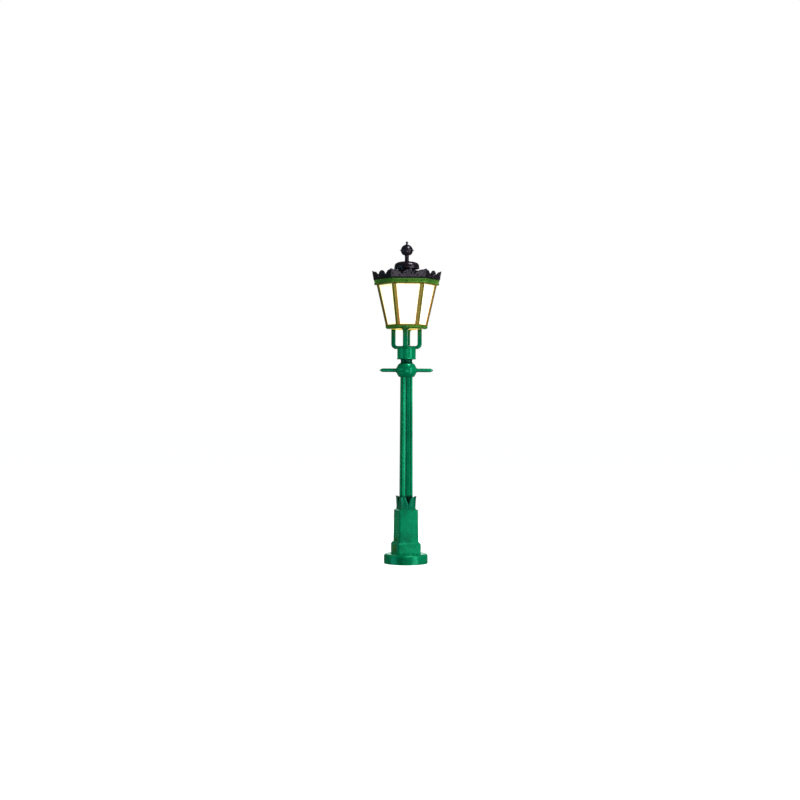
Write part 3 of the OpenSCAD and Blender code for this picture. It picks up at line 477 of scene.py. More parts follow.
def bevelled_copy(name, node, mat, width, segs=3, round_edge=None, round_width=0.0):
    """A copy of a CAD node's own shape with its casting's edges rounded, standing for that node."""
    bm = node_bmesh(node)
    bmesh.ops.dissolve_limit(bm, angle_limit=radians(0.5), verts=bm.verts, edges=bm.edges)
    bmesh.ops.recalc_face_normals(bm, faces=bm.faces)
    if round_edge:
        picked = [e for e in bm.edges if round_edge(e)]
        bmesh.ops.bevel(bm, geom=picked, offset=round_width, segments=7, profile=0.5, affect="EDGES",
                        offset_type="OFFSET", clamp_overlap=True)
    o = linked_copy(name, bm)
    mod = o.modifiers.new("bevel", "BEVEL")
    mod.width, mod.segments, mod.limit_method = width, segs, "ANGLE"
    mod.angle_limit = radians(30)
    mod.use_clamp_overlap = True
    mod.miter_outer = "MITER_ARC"
    done = evaluated(o)
    bpy.data.objects.remove(o)
    o = piece(name, done, mat, BODY_OF[node], SLOT_OF[node], (node,), 40)
    flat_faces(o)


def cast_copy(name, node, mat, voxel, rounds):
    """A copy of a CAD node remeshed fine and relaxed, so its edges are as soft as a casting's."""
    o = linked_copy(name, node_bmesh(node))
    mod = o.modifiers.new("remesh", "REMESH")
    mod.mode, mod.voxel_size, mod.adaptivity = "VOXEL", voxel, 0.0
    mod = o.modifiers.new("relax", "SMOOTH")
    mod.factor, mod.iterations = 0.5, rounds
    done = evaluated(o)
    bpy.data.objects.remove(o)
    piece(name, done, mat, BODY_OF[node], SLOT_OF[node], (node,), 60)


def bead(name, path, width, mat, body, slot, closed=True, flat=1.0):
    """A half-round moulding along a closed or open path of (point, outward) pairs."""
    loops = []
    n = len(path)
    for i, (p, out) in enumerate(path):
        p, out = Vector(p), Vector(out).normalized()
        nxt, prv = Vector(path[(i + 1) % n][0]), Vector(path[i - 1][0])
        if not closed and i == 0:
            prv = p
        if not closed and i == n - 1:
            nxt = p
        along = (nxt - prv).normalized()
        side = along.cross(out).normalized()
        loops.append([p + (side * cos(a) + out * sin(a) * flat) * width / 2 for a in circle_turns(BEAD_SEGS)])
    piece(name, mesh_from(name, *loop_surface(loops, closed_v=closed)), mat, body, slot)


# ---------------------------------------------------------------- base, plinth, pedestal, door

def post_point(x, y, z):
    """A point given in the pedestal's own axes, in metres."""
    c, s = cos(POST_TURN), sin(POST_TURN)
    return Vector((x * c - y * s, x * s + y * c, z))


def dome_head(name, at, normal, r, height, mat, body, slot, tall=1.0):
    """A cast round or oval head standing on a face."""
    prof = [(r * cos(a), height * sin(a)) for a in (radians(d) for d in range(0, 91, 10))]
    prof = [(r * 1.02, -0.001)] + prof
    q = Vector(normal).to_track_quat("Z", "Y")
    turns = circle_turns(24)
    loops = [[Vector(at) + q @ Vector((r * cos(b), r * tall * sin(b), z)) for b in turns] for r, z in prof]
    piece(name, mesh_from(name, *loop_surface(loops, closed_v=False)), mat, body, slot)


bevelled_copy("base_casting", "base_drum", "green_iron", 0.0025, 3)


def upright(e):
    """An outer upright edge of the square pedestal or plinth."""
    a, b = (v.co for v in e.verts)
    if abs(a.z - b.z) < 0.008 or e.calc_length() > 1.3 * abs(a.z - b.z) + 0.02:
        return False
    for p in (a, b):
        x = abs(p.x * cos(POST_TURN) + p.y * sin(POST_TURN))
        y = abs(-p.x * sin(POST_TURN) + p.y * cos(POST_TURN))
        if abs(x - y) > 0.0006 or x < 0.078:
            return False
    return len(e.link_faces) == 2 and e.calc_face_angle(0) > radians(60)


bevelled_copy("plinth_casting", "plinth", "green_iron", 0.0030, 3, round_edge=upright, round_width=0.016)
bevelled_copy("pedestal_casting", "pedestal", "green_iron", 0.0030, 3, round_edge=upright, round_width=0.018)
PED_FOOT_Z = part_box("pedestal")[0].z
PED_HALF = 0.1060  # half the pedestal's side at its foot
PED_BOSS_R, PED_BOSS_UP, PED_BOSS_SUNK = 0.018, 0.028, 0.0012
left = post_point(-1, 0, 0)
# the boss takes the yellow-green copy of the paint, painted light from the left
dome_head("pedestal_boss", left * (PED_HALF - PED_BOSS_SUNK) + Vector((0, 0, PED_FOOT_Z + PED_BOSS_UP)), left,
          PED_BOSS_R, PED_BOSS_R, "lit_boss_green", *POST)
# the plinth's front face is plain and its left face has an oval boss
plinth_lo, plinth_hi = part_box("plinth")
PLINTH_HALF, PANEL_DEPTH, PANEL_L, PANEL_H = 0.125, 0.005, 0.130, 0.054
PLINTH_SLOPE = 0.020
OVAL_UP, OVAL_HALF_W, OVAL_PROUD, OVAL_TALL, OVAL_SUNK = 0.005, 0.050, 0.009, 0.80, 0.0005
panel_z = (plinth_lo.z + plinth_hi.z - PLINTH_SLOPE) / 2
for face, (xx, xy, yx, yy) in (("front", (1, 0, 0, 1)), ("left", (0, 1, -1, 0))):
    fill = []
    for y in (-PLINTH_HALF, PANEL_DEPTH * 1.05 - PLINTH_HALF):
        loop = []
        for side in (1, -1):
            for k in range(17):
                a = radians(90 - 180 * k / 16)
                x = side * ((PANEL_L - PANEL_H) / 2 + PANEL_H / 2 * cos(a))
                z = panel_z + side * PANEL_H / 2 * sin(a)
                loop.append(post_point(xx * x + xy * y, yx * x + yy * y, z))
        fill.append(loop)
    name = f"plinth_{face}_filler"
    piece(name, mesh_from(name, *closed_solid(fill)), *GREEN, (), 40)
# the oval boss takes the yellow-green copy of the paint, painted light from the left
dome_head("plinth_oval", left * (PLINTH_HALF - OVAL_SUNK) + Vector((0, 0, panel_z + OVAL_UP)), left,
          OVAL_HALF_W, OVAL_PROUD, "lit_boss_green", *POST, tall=OVAL_TALL)

bevelled_copy("door_casting", "service_door", "green_iron", 0.0015, 3)
door_lo, door_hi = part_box("service_door")
DOOR_FACE, DOOR_HALF_W, DOOR_HALF_H = 0.1040, 0.063, 0.120
door_mid_z = (door_lo.z + door_hi.z) / 2


def panel_path(half_w, half_h, corner):
    pts = []
    for sx, sz, a0 in ((1, 1, 0), (-1, 1, 90), (-1, -1, 180), (1, -1, 270)):
        for k in range(7):
            a = radians(a0 + 90 * k / 6)
            pts.append((sx * (half_w - corner) + corner * cos(a), sz * (half_h - corner) + corner * sin(a)))
    return pts


out = post_point(0, 1, 0)
panel = panel_path(DOOR_HALF_W - 0.012, DOOR_HALF_H - 0.014, 0.010)
bead("door_panel_bead", [(post_point(x, DOOR_FACE, door_mid_z + z), out) for x, z in panel],
     0.006, "green_iron", "door", "green_iron", flat=0.7)


# ---------------------------------------------------------------- leaf collar

leaf_lo, leaf_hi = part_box("leaf_collar")
LEAF_HALF, LEAF_TOP_HALF, LEAF_BORE = 0.077, 0.082, 0.0733
LEAF_BACK_R = LEAF_BORE + 0.0006
LEAF_H = leaf_hi.z - leaf_lo.z
NOTCH_Z, NOTCH_HALF = 0.042, 0.034


def leaf_collar():
    """Four acanthus leaves folded round the corners of a square band, each with ribs and a curled tip."""
    cols, rows, thick = 40, 26, 0.0045
    faces, verts = [], []
    for corner in range(4):
        a0 = POST_TURN + radians(90 * corner)
        base = len(verts)
        for layer in (0, 1):
            for i in range(rows + 1):
                t = i / rows
                for j in range(cols + 1):
                    u = -1 + 2 * j / cols
                    scallop = 0.05 * (0.5 - 0.5 * cos(abs(u) * pi * 5)) * (abs(u) > 0.12)
                    z = LEAF_H * t * (1.0 - 0.10 * abs(u) ** 2.2 - scallop)
                    open_half = 0.0
                    if z > NOTCH_Z:
                        open_half = NOTCH_HALF * ((z - NOTCH_Z) / (LEAF_H - NOTCH_Z)) ** 0.90
                    half = LEAF_HALF + (LEAF_TOP_HALF - LEAF_HALF) * (z / LEAF_H) ** 1.5
                    along = u * (half - open_half)
                    vein = 0.0008 * cos(abs(u) * pi * 2.5) * min(1, t * 3)
                    mid = 0.0022 * max(0, 1 - abs(u) * 7)
                    curl = 0.0055 * max(0, (t - 0.86) / 0.14) ** 1.6 * max(0, 1 - abs(u) * 1.1)
                    lift = 0.003 * (1 if t < 0.10 else 0) + vein + mid
                    if layer:
                        lift -= thick
                    if along >= 0:
                        p = Vector((half + lift, half - along))
                    else:
                        p = Vector((half + along, half + lift))
                    soft = 0.0018 * max(0, 1 - abs(along) / 0.006)
                    p += Vector((1, 1)).normalized() * (curl - soft)
                    r = hypot(p.x, p.y)
                    if layer and min(p.x, p.y) < LEAF_BORE and r < LEAF_BACK_R:
                        p *= LEAF_BACK_R / r
                    x, y = p.x * cos(a0) - p.y * sin(a0), p.x * sin(a0) + p.y * cos(a0)
                    verts.append((x, y, leaf_lo.z + z))
        w = cols + 1
        layer_n = (rows + 1) * w
        for i in range(rows):
            for j in range(cols):
                a = base + i * w + j
                faces.append((a, a + 1, a + w + 1, a + w))
                b = a + layer_n
                faces.append((b, b + w, b + w + 1, b + 1))
        for j in range(cols):
            a = base + rows * w + j
            faces.append((a, a + 1, a + 1 + layer_n, a + layer_n))
            a = base + j
            faces.append((a, a + layer_n, a + 1 + layer_n, a + 1))
        for i in range(rows):
            for j in (0, cols):
                a = base + i * w + j
                faces.append((a, a + w, a + w + layer_n, a + layer_n))
    me = mesh_from("leaf_casting", verts, faces)
    # the leaves take the darker copy of the paint, painted shade
    piece("leaf_casting", me, "shaded_leaf_green", *POST, ("leaf_collar",), 50)


leaf_collar()


# ---------------------------------------------------------------- column

col_lo, col_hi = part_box("column")
COL_R, COL_TOP_R, COL_BORE = 0.072, 0.0655, 0.042


def flute_radius(angle, r_out):
    """Radius of the fluted outline; the arrises are a little rounded, as on a casting."""
    k = r_out / COL_R
    fr, c = FLUTE_R * k, r_out + FLUTE_R * k - FLUTE_DEPTH * k
    step_a = 2 * pi / FLUTES
    best = 1e9
    rel = (angle - FLUTE_TURN + pi / 2) % step_a
    for d in (rel, rel - step_a):
        inside = fr ** 2 - (c * sin(d)) ** 2
        if inside > 0 and abs(d) < pi / 2:
            best = min(best, c * cos(d) - sqrt(inside))
    if best > r_out:
        return r_out - 0.0005
    soft = 0.0022
    h = max(0.0, min(1.0, 0.5 + 0.5 * (r_out - best) / soft))
    return (r_out * (1 - h) + best * h) - soft * h * (1 - h)


def column():
    segs, rows = 216, 44
    turns = circle_turns(segs)
    loops = []
    height = col_hi.z - col_lo.z
    for i in range(rows + 1):
        t = i / rows
        r_out = COL_R + (COL_TOP_R - COL_R) * t
        radii = [(flute_radius(a, r_out), a) for a in turns]
        loops.append([(r * cos(a), r * sin(a), col_lo.z + height * t) for r, a in radii])
    for z in (col_hi.z, col_lo.z):
        loops.append([(COL_BORE * cos(a), COL_BORE * sin(a), z) for a in turns])
    me = mesh_from("column_casting", *loop_surface(loops))
    # painted shade darkens the flutes and the column's foot behind the leaves
    piece("column_casting", me, "column_shaded_green", *POST, ("column",), 50)


column()


# ---------------------------------------------------------------- boss, ladder bars, neck, collar

BOSS_R, SPIGOT_R, SPIGOT_BORE, SPIGOT_L = 0.1035, 0.0418, 0.0345, 0.040
boss_z0, boss_z1 = col_hi.z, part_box("ladder_boss")[1].z
boss_mid = (boss_z0 + boss_z1) / 2
boss_half = boss_z1 - boss_mid


def boss():
    flat_r = sqrt(BOSS_R ** 2 - boss_half ** 2)
    lim = atan2(boss_half, flat_r)
    turns = (lim * (k / 16 - 1) for k in range(33))
    arc = [(BOSS_R * cos(a), boss_mid + BOSS_R * sin(a), 0) for a in turns]
    foot = boss_z0 - SPIGOT_L
    outline = [(SPIGOT_BORE, foot, 0.001), (SPIGOT_R, foot, 0.001), (SPIGOT_R, boss_z0, 0.0005),
               (flat_r - 0.006, boss_z0, 0.002)] + arc[1:-1]
    outline += [(flat_r - 0.006, boss_z1, 0.002), (SPIGOT_BORE, boss_z1, 0.001)]
    piece("boss_casting", lathe_mesh("boss_casting", outline, 128), *GREEN, ("ladder_boss",), 40)


boss()


def bar(name, node, side):
    lo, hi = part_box(node)
    x_end = hi.x if side > 0 else -lo.x
    r = (hi.z - lo.z) / 2
    z = (hi.z + lo.z) / 2
    inner, tip = 0.0900, 0.028
    prof = [(inner, 0.0), (inner, r), (x_end - tip - 0.004, r), (x_end - tip, r * 0.99),
            (x_end - tip * 0.5, r * 0.66), (x_end - 0.004, r * 0.30), (x_end, 0.0)]
    fine = []
    for (xa, ra), (xb, rb) in zip(prof, prof[1:]):
        n = 14 if xb - xa > 0.05 else 4
        for k in range(n):
            t = k / n
            fine.append((xa + (xb - xa) * t, ra + (rb - ra) * t))
    fine.append(prof[-1])
    turns = circle_turns(48)
    loops = []
    for x, rr in fine:
        cast_r = max(rr * (1 + 0.006 * noise.noise(Vector((x * 22 * side, 3.1, 0.2)))), 1e-5)
        loops.append([(side * x, cast_r * cos(a), z + cast_r * sin(a)) for a in turns])
    piece(name, mesh_from(name, *loop_surface(loops, closed_v=False)), *GREEN, (node,), 40)
    ring = r + 0.0045
    path = [((side * 0.1005, ring * cos(a), z + ring * sin(a)), (0, cos(a), sin(a))) for a in turns]
    bead(name + "_collar", path, 0.011, *GREEN)


bar("ladder_arm_right", "ladder_bar_right", 1)
bar("ladder_arm_left", "ladder_bar_left", -1)

neck_lo, neck_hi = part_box("neck")
coll_lo, coll_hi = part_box("lantern_collar")
NECK_R, COLLAR_R, COLLAR_BORE, CABLE_BORE = 0.0650, 0.0965, 0.0845, 0.0305
neck_z0, neck_z1 = boss_z1, coll_lo.z + 0.003
# the neck takes the near-black copy of the paint, painted shadow under the collar
piece("neck_casting", lathe_mesh("neck_casting", [
    (CABLE_BORE, neck_lo.z), (0.0338, neck_lo.z), (0.0338, neck_z0, 0.0003), (NECK_R + 0.001, neck_z0, 0.001),
    (NECK_R + 0.001, neck_z0 + 0.006, 0.003), (NECK_R - 0.006, neck_z0 + 0.012, 0.006),
    (NECK_R - 0.006, neck_z1 - 0.010, 0.006), (NECK_R, neck_z1 - 0.004, 0.002), (NECK_R, neck_z1, 0.0003),
    (COLLAR_BORE - 0.0003, neck_z1, 0.0005), (COLLAR_BORE - 0.0003, neck_hi.z, 0.001),
    (COLLAR_BORE - 0.012, neck_hi.z, 0.001), (COLLAR_BORE - 0.012, neck_z1 + 0.014, 0.002),
    (CABLE_BORE, neck_z1 + 0.014, 0.001)], 96, 0.001), "shaded_neck_green", *POST, ("neck",))
z0, z1 = coll_lo.z, coll_hi.z
piece("collar_casting", lathe_mesh("collar_casting", [
    (COLLAR_BORE, z0, 0.001), (COLLAR_R + 0.0015, z0, 0.003), (COLLAR_R + 0.0015, z0 + 0.009, 0.003),
    (COLLAR_R - 0.002, z0 + 0.013, 0.002), (COLLAR_R - 0.001, z1 - 0.016, 0.002),
    (COLLAR_R + 0.001, z1 - 0.012, 0.002), (COLLAR_R + 0.001, z1 - 0.004, 0.003),
    (COLLAR_R - 0.004, z1, 0.002), (CABLE_BORE, z1, 0.001), (CABLE_BORE, z1 - 0.0215, 0.001),
    (COLLAR_BORE, z1 - 0.0215, 0.001)], 96, 0.001), *GREEN, ("lantern_collar",))

# the cradle's paint carries painted lamp light towards its arms' heads
cast_copy("cradle_casting", "cradle", "lamplit_arm_green", 0.0028, 8)


# ---------------------------------------------------------------- lantern frame

low_lo, low_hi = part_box("lower_rim")
low_r = (low_hi.x - low_lo.x) / 2
z0, z1 = low_lo.z, low_hi.z
LOW_FOOT, LOW_IN, FLOOR_OPEN = low_r - 0.026, low_r - 0.036, 0.1355
LOW_SLOPE, LOW_LIP = 0.016, 0.006
piece("floor_glass_bead", hex_mesh("floor_glass_bead", [
    (FLOOR_OPEN - 0.001, z0 - 0.0015, 0.001), (FLOOR_OPEN + 0.034, z0 - 0.0015, 0.001),
    (FLOOR_OPEN + 0.036, z0 + 0.002, 0.001), (FLOOR_OPEN - 0.001, z0 + 0.002, 0.001)], 0.001),
      "floor_glass", "post", SLOT_OF["floor_pane"])
piece("lower_rim_casting", hex_mesh("lower_rim_casting", [
    (FLOOR_OPEN, z0, 0.002), (LOW_FOOT, z0, 0.008), (low_r - 0.009, z0 + LOW_SLOPE * 0.45, 0.008),
    (low_r - 0.001, z0 + LOW_SLOPE * 1.2, 0.004), (low_r - 0.001, z0 + LOW_SLOPE * 1.6, 0.001),
    (low_r - 0.004, z0 + LOW_SLOPE * 1.75, 0.001), (low_r - 0.004, z1 - 0.010, 0.001),
    (low_r, z1 - 0.008, 0.002), (low_r, z1, 0.003), (LOW_IN, z1, 0.002), (LOW_IN, z0 + LOW_SLOPE, 0.003),
    (FLOOR_OPEN + 0.0115, z0 + LOW_SLOPE, 0.002), (FLOOR_OPEN + 0.0115, z0 + LOW_LIP, 0.001),
    (FLOOR_OPEN, z0 + LOW_LIP, 0.001)]), "lit_green", *POST, ("lower_rim",))

up_lo, up_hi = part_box("upper_rim")
up_r = (up_hi.x - up_lo.x) / 2
z0, z1 = up_lo.z, up_hi.z
UP_IN = up_r - 0.0127
piece("upper_rim_casting", hex_mesh("upper_rim_casting", [
    (up_r - 0.0665, z0, 0.002), (up_r - 0.021, z0, 0.006), (up_r - 0.006, z0 + 0.006, 0.006),
    (up_r - 0.002, z0 + 0.014, 0.003), (up_r - 0.002, z0 + 0.019, 0.002), (up_r - 0.006, z0 + 0.022, 0.002),
    (up_r - 0.006, z1 - 0.018, 0.002), (up_r - 0.001, z1 - 0.014, 0.003), (up_r, z1 - 0.002, 0.002),
    (up_r - 0.001, z1, 0.001), (UP_IN, z1, 0.001), (UP_IN, z0 + 0.012, 0.002),
    (up_r - 0.0665, z0 + 0.012, 0.002)]), "lit_green", *POST, ("upper_rim",))

# the corner bars, beads and strips take the gold-olive copy of the paint, painted lamp light
bevelled_copy("corner_bar_castings", "corner_bars", "lamplit_bar_green", 0.0014, 3)
BAR_LOW_R, BAR_TOP_R = 0.2155, 0.3065
# cover strips: how far they lap over the glass, and how deep their two faces lie under the outline
STRIP_LEG, STRIP_IN, STRIP_OUT = 0.028, 0.0075, 0.0012
for k in range(6):
    a = radians(60 * k)
    out_dir = Vector((cos(a), sin(a), 0))
    path = []
    for i in range(25):
        t = i / 24
        r = BAR_LOW_R + (BAR_TOP_R - BAR_LOW_R) * t
        z = low_hi.z + 0.001 + (up_lo.z - low_hi.z - 0.002) * t
        path.append((out_dir * (r - 0.0015) + Vector((0, 0, z)), out_dir - Vector((0, 0, 0.25))))
    bead(f"corner_bar_bead_{k + 1}", path, 0.010, "lamplit_bar_green", *POST, closed=False, flat=0.45)
    legs = [Vector((cos(a + radians(s)), sin(a + radians(s)), 0)) for s in (120, -120)]
    tip = ((STRIP_LEG, STRIP_IN), (STRIP_LEG, STRIP_OUT + 0.003), (STRIP_LEG - 0.003, STRIP_OUT))
    section = [(legs[0], q) for q in (*tip, (0, STRIP_OUT))]
    section += [(legs[1], q) for q in (*tip[::-1], (0, STRIP_IN))]
    loops = []
    for z, r in ((low_hi.z + 0.0005, BAR_LOW_R), (up_lo.z - 0.0005, BAR_TOP_R)):
        face = out_dir * r + Vector((0, 0, z))
        loops.append([face + leg * u - out_dir * d / C30 for leg, (u, d) in section])
    name = f"corner_strip_{k + 1}"
    piece(name, mesh_from(name, *closed_solid(loops)), "lamplit_bar_green", *POST, (), 30)


# ---------------------------------------------------------------- hood and cresting

hood_lo, hood_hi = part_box("hood")
hood_r = (hood_hi.x - hood_lo.x) / 2
FLANGE_T = 0.006
crest_z = hood_lo.z + FLANGE_T
roof_r, roof_top = hood_r - 0.014, 0.110
roof_rise = hood_hi.z - crest_z


def roof_r_at(t):
    """Corner radius of the roof at height share t, a little hollow like beaten sheet."""
    return roof_r + (roof_top - roof_r) * (t + 0.10 * sin(pi * t))


ROOF_T = 0.014  # the roof's thickness, measured level
shares = [i / 12 for i in range(13)]
outer = [(roof_r_at(t), crest_z + roof_rise * t, 0) for t in shares]
inner = [(roof_r_at(t) - ROOF_T, crest_z + roof_rise * t - 0.001, 0) for t in reversed(shares)]
inner[0] = (0.068, hood_hi.z - 0.0055, 0)
inner.insert(0, (0.068, hood_hi.z, 0))
flange = [(roof_r - 0.040, hood_lo.z, 0.001), (hood_r, hood_lo.z, 0.0015), (hood_r, crest_z, 0.0015)]
piece("hood_shell", hex_mesh("hood_shell", flange + outer + inner, 0.001), *BLACK, ("hood",), 30)
for k in range(6):
    a = radians(60 * k)
    path = []
    for i in range(21):
        t = i / 20
        r = roof_r_at(t)
        path.append((Vector((r * cos(a), r * sin(a), crest_z + roof_rise * t - 0.001)),
                     Vector((cos(a) * 0.35, sin(a) * 0.35, 1))))
    bead(f"hood_hip_{k + 1}", path, 0.012, *BLACK, closed=False, flat=0.8)

crest_lo, crest_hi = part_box("cresting")
CREST_R, CREST_TIP_R = hood_r, (crest_hi.x - crest_lo.x) / 2 - 0.0016
CREST_H = crest_hi.z - crest_lo.z
CREST_T = 0.007
EYE_Z, LOBE_R = 0.014, CREST_H - 0.022  # the shell lobe's centre and radius


def arc_points(cx, cy, r, a0, a1, n):
    return [(cx + r * cos(radians(a0 + (a1 - a0) * k / n)), cy + r * sin(radians(a0 + (a1 - a0) * k / n)))
            for k in range(n + 1)]


def crest_outline(half):
    """Right half of one face's cresting: a shell lobe, a hollow with a bead in it and a broad corner leaf."""
    right = arc_points(0, EYE_Z, LOBE_R, 90, 12, 18)
    right += [(LOBE_R + 0.004, 0.038), (0.080, 0.048), (0.086, 0.054), (0.093, 0.055), (0.098, 0.060),
              (0.105, 0.068), (0.114, 0.073), (0.127, 0.076), (0.140, 0.077), (0.152, 0.079), (0.162, 0.083),
              (0.170, 0.086), (half, 0.087)]
    return right


def crest_holes():
    """Pierced openings: three petals in the shell and a drop-shaped eye on each side."""
    holes = []
    for a in (48, 90, 132):
        c, s = cos(radians(a)), sin(radians(a))
        tip, root, wide = 0.050, 0.028, 0.0050
        pts = []
        for b in circle_turns(14):
            along = (tip + root) / 2 + (tip - root) / 2 * cos(b)
            across = wide * sin(b) * (0.7 + 0.3 * cos(b))
            pts.append((along * c - across * s, EYE_Z + along * s + across * c))
        holes.append(pts)
    for s in (-1, 1):
        holes.append(arc_points(s * 0.094, 0.026, 0.0055, 0, 330, 11))
    return holes


def flat_curve(name, outlines, thick, bevel):
    cu = bpy.data.curves.new(name, "CURVE")
    cu.dimensions, cu.fill_mode = "2D", "BOTH"
    cu.extrude, cu.bevel_depth, cu.bevel_resolution = thick / 2 - bevel, bevel, 2
    cu.offset = -bevel
    for pts in outlines:
        sp = cu.splines.new("POLY")
        sp.points.add(len(pts) - 1)
        for q, p in zip(sp.points, pts):
            q.co = (p[0], p[1], 0, 1)
        sp.use_cyclic_u = True
    o = linked(name, cu)
    me = evaluated(o)
    bpy.data.objects.remove(o)
    return me


def tube_mesh(points, radii, flat=0.7):
    """A tapering rounded rib through 2-D points, standing on the plate's face (z = height)."""
    loops = []
    for i, (p, r) in enumerate(zip(points, radii)):
        q0, q1 = Vector(points[max(i - 1, 0)]), Vector(points[min(i + 1, len(points) - 1)])
        d = (q1 - q0).normalized()
        side = Vector((-d.y, d.x))
        loops.append([(p[0] + side.x * r * cos(b), p[1] + side.y * r * cos(b), r * sin(b) * flat)
                      for b in circle_turns(BEAD_SEGS)])
    return loop_surface(loops, closed_v=False)


LEAF_EDGE = ((0.104, 0.055), (0.113, 0.066), (0.127, 0.070), (0.145, 0.071), (0.162, 0.077), (0.174, 0.086))
LEAF_VEIN = ((0.122, 0.010), (0.142, 0.018), (0.160, 0.032), (0.170, 0.050), (0.176, 0.070))


def crest_relief():
    """Raised work on a face: the shell's ribs and rim, scrolls, and the corner leaves' veins."""
    parts = []
    for a in range(15, 166, 25):
        c, s = cos(radians(a)), sin(radians(a))
        reach = [0.014 + (LOBE_R - 0.024) * t for t in (0, 0.3, 0.6, 0.85, 1)]
        parts.append(([(r * c, EYE_Z + r * s) for r in reach], (0.0016, 0.0030, 0.0038, 0.0040, 0.0022)))
    rim = arc_points(0, EYE_Z, LOBE_R - 0.005, 6, 174, 30)
    parts.append((rim, [0.0045] * len(rim)))
    eye = arc_points(0, EYE_Z, 0.010, 0, 350, 14)
    parts.append((eye + eye[:1], [0.0035] * (len(eye) + 1)))
    for s in (-1, 1):
        steps = [k / 20 for k in range(21)]
        curl = [(0.013 - 0.0035 * t, 5.2 * t + 2.6) for t in steps]
        scroll = [(s * (0.094 + r * cos(a)), 0.026 + r * sin(a)) for r, a in curl]
        parts.append((scroll, [0.0034 - 0.0012 * t for t in steps]))
        for line, radii in ((LEAF_EDGE, (0.0030, 0.0038, 0.0042, 0.0042, 0.0036, 0.0020)),
                            (LEAF_VEIN, (0.0024, 0.0040, 0.0044, 0.0036, 0.0016))):
            parts.append(([(s * x, y) for x, y in line], radii))
    return parts


def cresting():
    half = CREST_TIP_R / 2
    right = crest_outline(half)
    outline = [(-x, y) for x, y in reversed(right)] + right[1:]
    outline = [(-half, 0)] + outline + [(half, 0)]
    plate = flat_curve("crest_plate", [outline] + crest_holes(), CREST_T, 0.0012)
    whole = bmesh.new()
    for k in range(6):
        mid = radians(60 * k + 30)
        n, along = Vector((cos(mid), sin(mid), 0)), Vector((-sin(mid), cos(mid), 0))

        def place(p, lift=0.0):
            h = max(0.0, p[1]) / CREST_H
            r = CREST_R + (CREST_TIP_R - CREST_R) * h
            return (n * (r * C30 - CREST_T / 2 + p[2] + lift) + along * (p[0] * r / CREST_TIP_R)
                    + Vector((0, 0, crest_lo.z + p[1])))

        def add_relief(tube, lift):
            verts = [whole.verts.new(place(Vector(v), lift)) for v in tube[0]]
            for f in tube[1]:
                whole.faces.new([verts[i] for i in f])

        bm = bmesh.new()
        bm.from_mesh(plate)
        bmesh.ops.subdivide_edges(bm, edges=[e for e in bm.edges if e.calc_length() > 0.03], cuts=2)
        for v in bm.verts:
            v.co = place(v.co)
        me = bpy.data.meshes.new("tmp")
        bm.to_mesh(me)
        whole.from_mesh(me)
        bm.free()
        for pts, radii in crest_relief():
            add_relief(tube_mesh(pts, radii), CREST_T / 2)
        rail = [(half * (i / 20 - 1), 0.0055) for i in range(41)]
        add_relief(tube_mesh(rail, [0.0048] * 41, 0.8), CREST_T / 2 - 0.001)
    me = bpy.data.meshes.new("cresting_castings")
    bmesh.ops.recalc_face_normals(whole, faces=whole.faces)
    whole.to_mesh(me)
    whole.free()
    piece("cresting_castings", me, *BLACK, ("cresting",), 45)


cresting()


# ---------------------------------------------------------------- dome and finial

ROD_BORE = 0.0065
dome_lo, dome_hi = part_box("dome")
dome_r = (dome_hi.x - dome_lo.x) / 2
z0, z1 = dome_lo.z, dome_hi.z
SKIRT_H, CROWN_W, CROWN_H = 0.014, 0.62, 0.70  # height of the dome's skirt; how square its crown is
crown = []
for k in range(20):
    a = radians(90 * k / 21)
    rise = (z1 - z0 - SKIRT_H) * sin(a) ** CROWN_H
    crown.append(((dome_r - 0.003) * cos(a) ** CROWN_W, z0 + SKIRT_H + rise, 0))
piece("dome_shell", lathe_mesh("dome_shell", [
    (dome_r - 0.006, z0, 0.001), (dome_r, z0, 0.002), (dome_r, z0 + 0.008, 0.003),
    (dome_r - 0.004, z0 + 0.012, 0.002)] + crown + [
    (0.030, z1, 0.001), (ROD_BORE, z1, 0.0003), (ROD_BORE, z1 - 0.012, 0.0003), (0.066, z1 - 0.012, 0.003),
    (0.066, z0 + 0.020, 0.001), (dome_r - 0.008, z0 + 0.020, 0.002)], 128, 0.001), *BLACK, ("dome",), 40)

stem_lo, stem_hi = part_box("finial_stem")
stem_r = (stem_hi.x - stem_lo.x) / 2
piece("finial_stem_turned", lathe_mesh("finial_stem_turned", [
    (ROD_BORE, stem_lo.z, 0.0003), (stem_r, stem_lo.z, 0.002), (stem_r, stem_lo.z + 0.008, 0.003),
    (stem_r - 0.0015, stem_lo.z + 0.012, 0.003), (stem_r - 0.0015, stem_hi.z - 0.014, 0.003),
    (stem_r, stem_hi.z - 0.010, 0.002), (stem_r, stem_hi.z, 0.001), (ROD_BORE, stem_hi.z, 0.0003)],
    64, 0.001), *BLACK, ("finial_stem",))

bowl_lo, bowl_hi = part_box("finial_bowl")
ring_lo, ring_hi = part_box("finial_ring")
ball_r = (bowl_hi.x - bowl_lo.x) / 2
ball_z = (ring_lo.z + ring_hi.z) / 2
ring_r = (ring_hi.x - ring_lo.x) / 2


def ball_slice(name, node):
    """The part of the finial's ball that lies between the node's foot and top."""
    z_a, z_b = (corner.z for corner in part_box(node))
    a0, a1 = (max(-1, min(1, (z - ball_z) / (ball_r * 1.002))) for z in (z_a, z_b))
    shares = [a0 + (a1 - a0) * k / 16 for k in range(17)]
    arc = [(ball_r * sqrt(max(0, 1 - s * s)), ball_z + ball_r * s, 0) for s in shares]
    outline = [(ROD_BORE, z_a, 0)] + arc + [(ROD_BORE, z_b, 0)]
    piece(name, lathe_mesh(name, outline, 96, 0.001), *BLACK, (node,), 40)


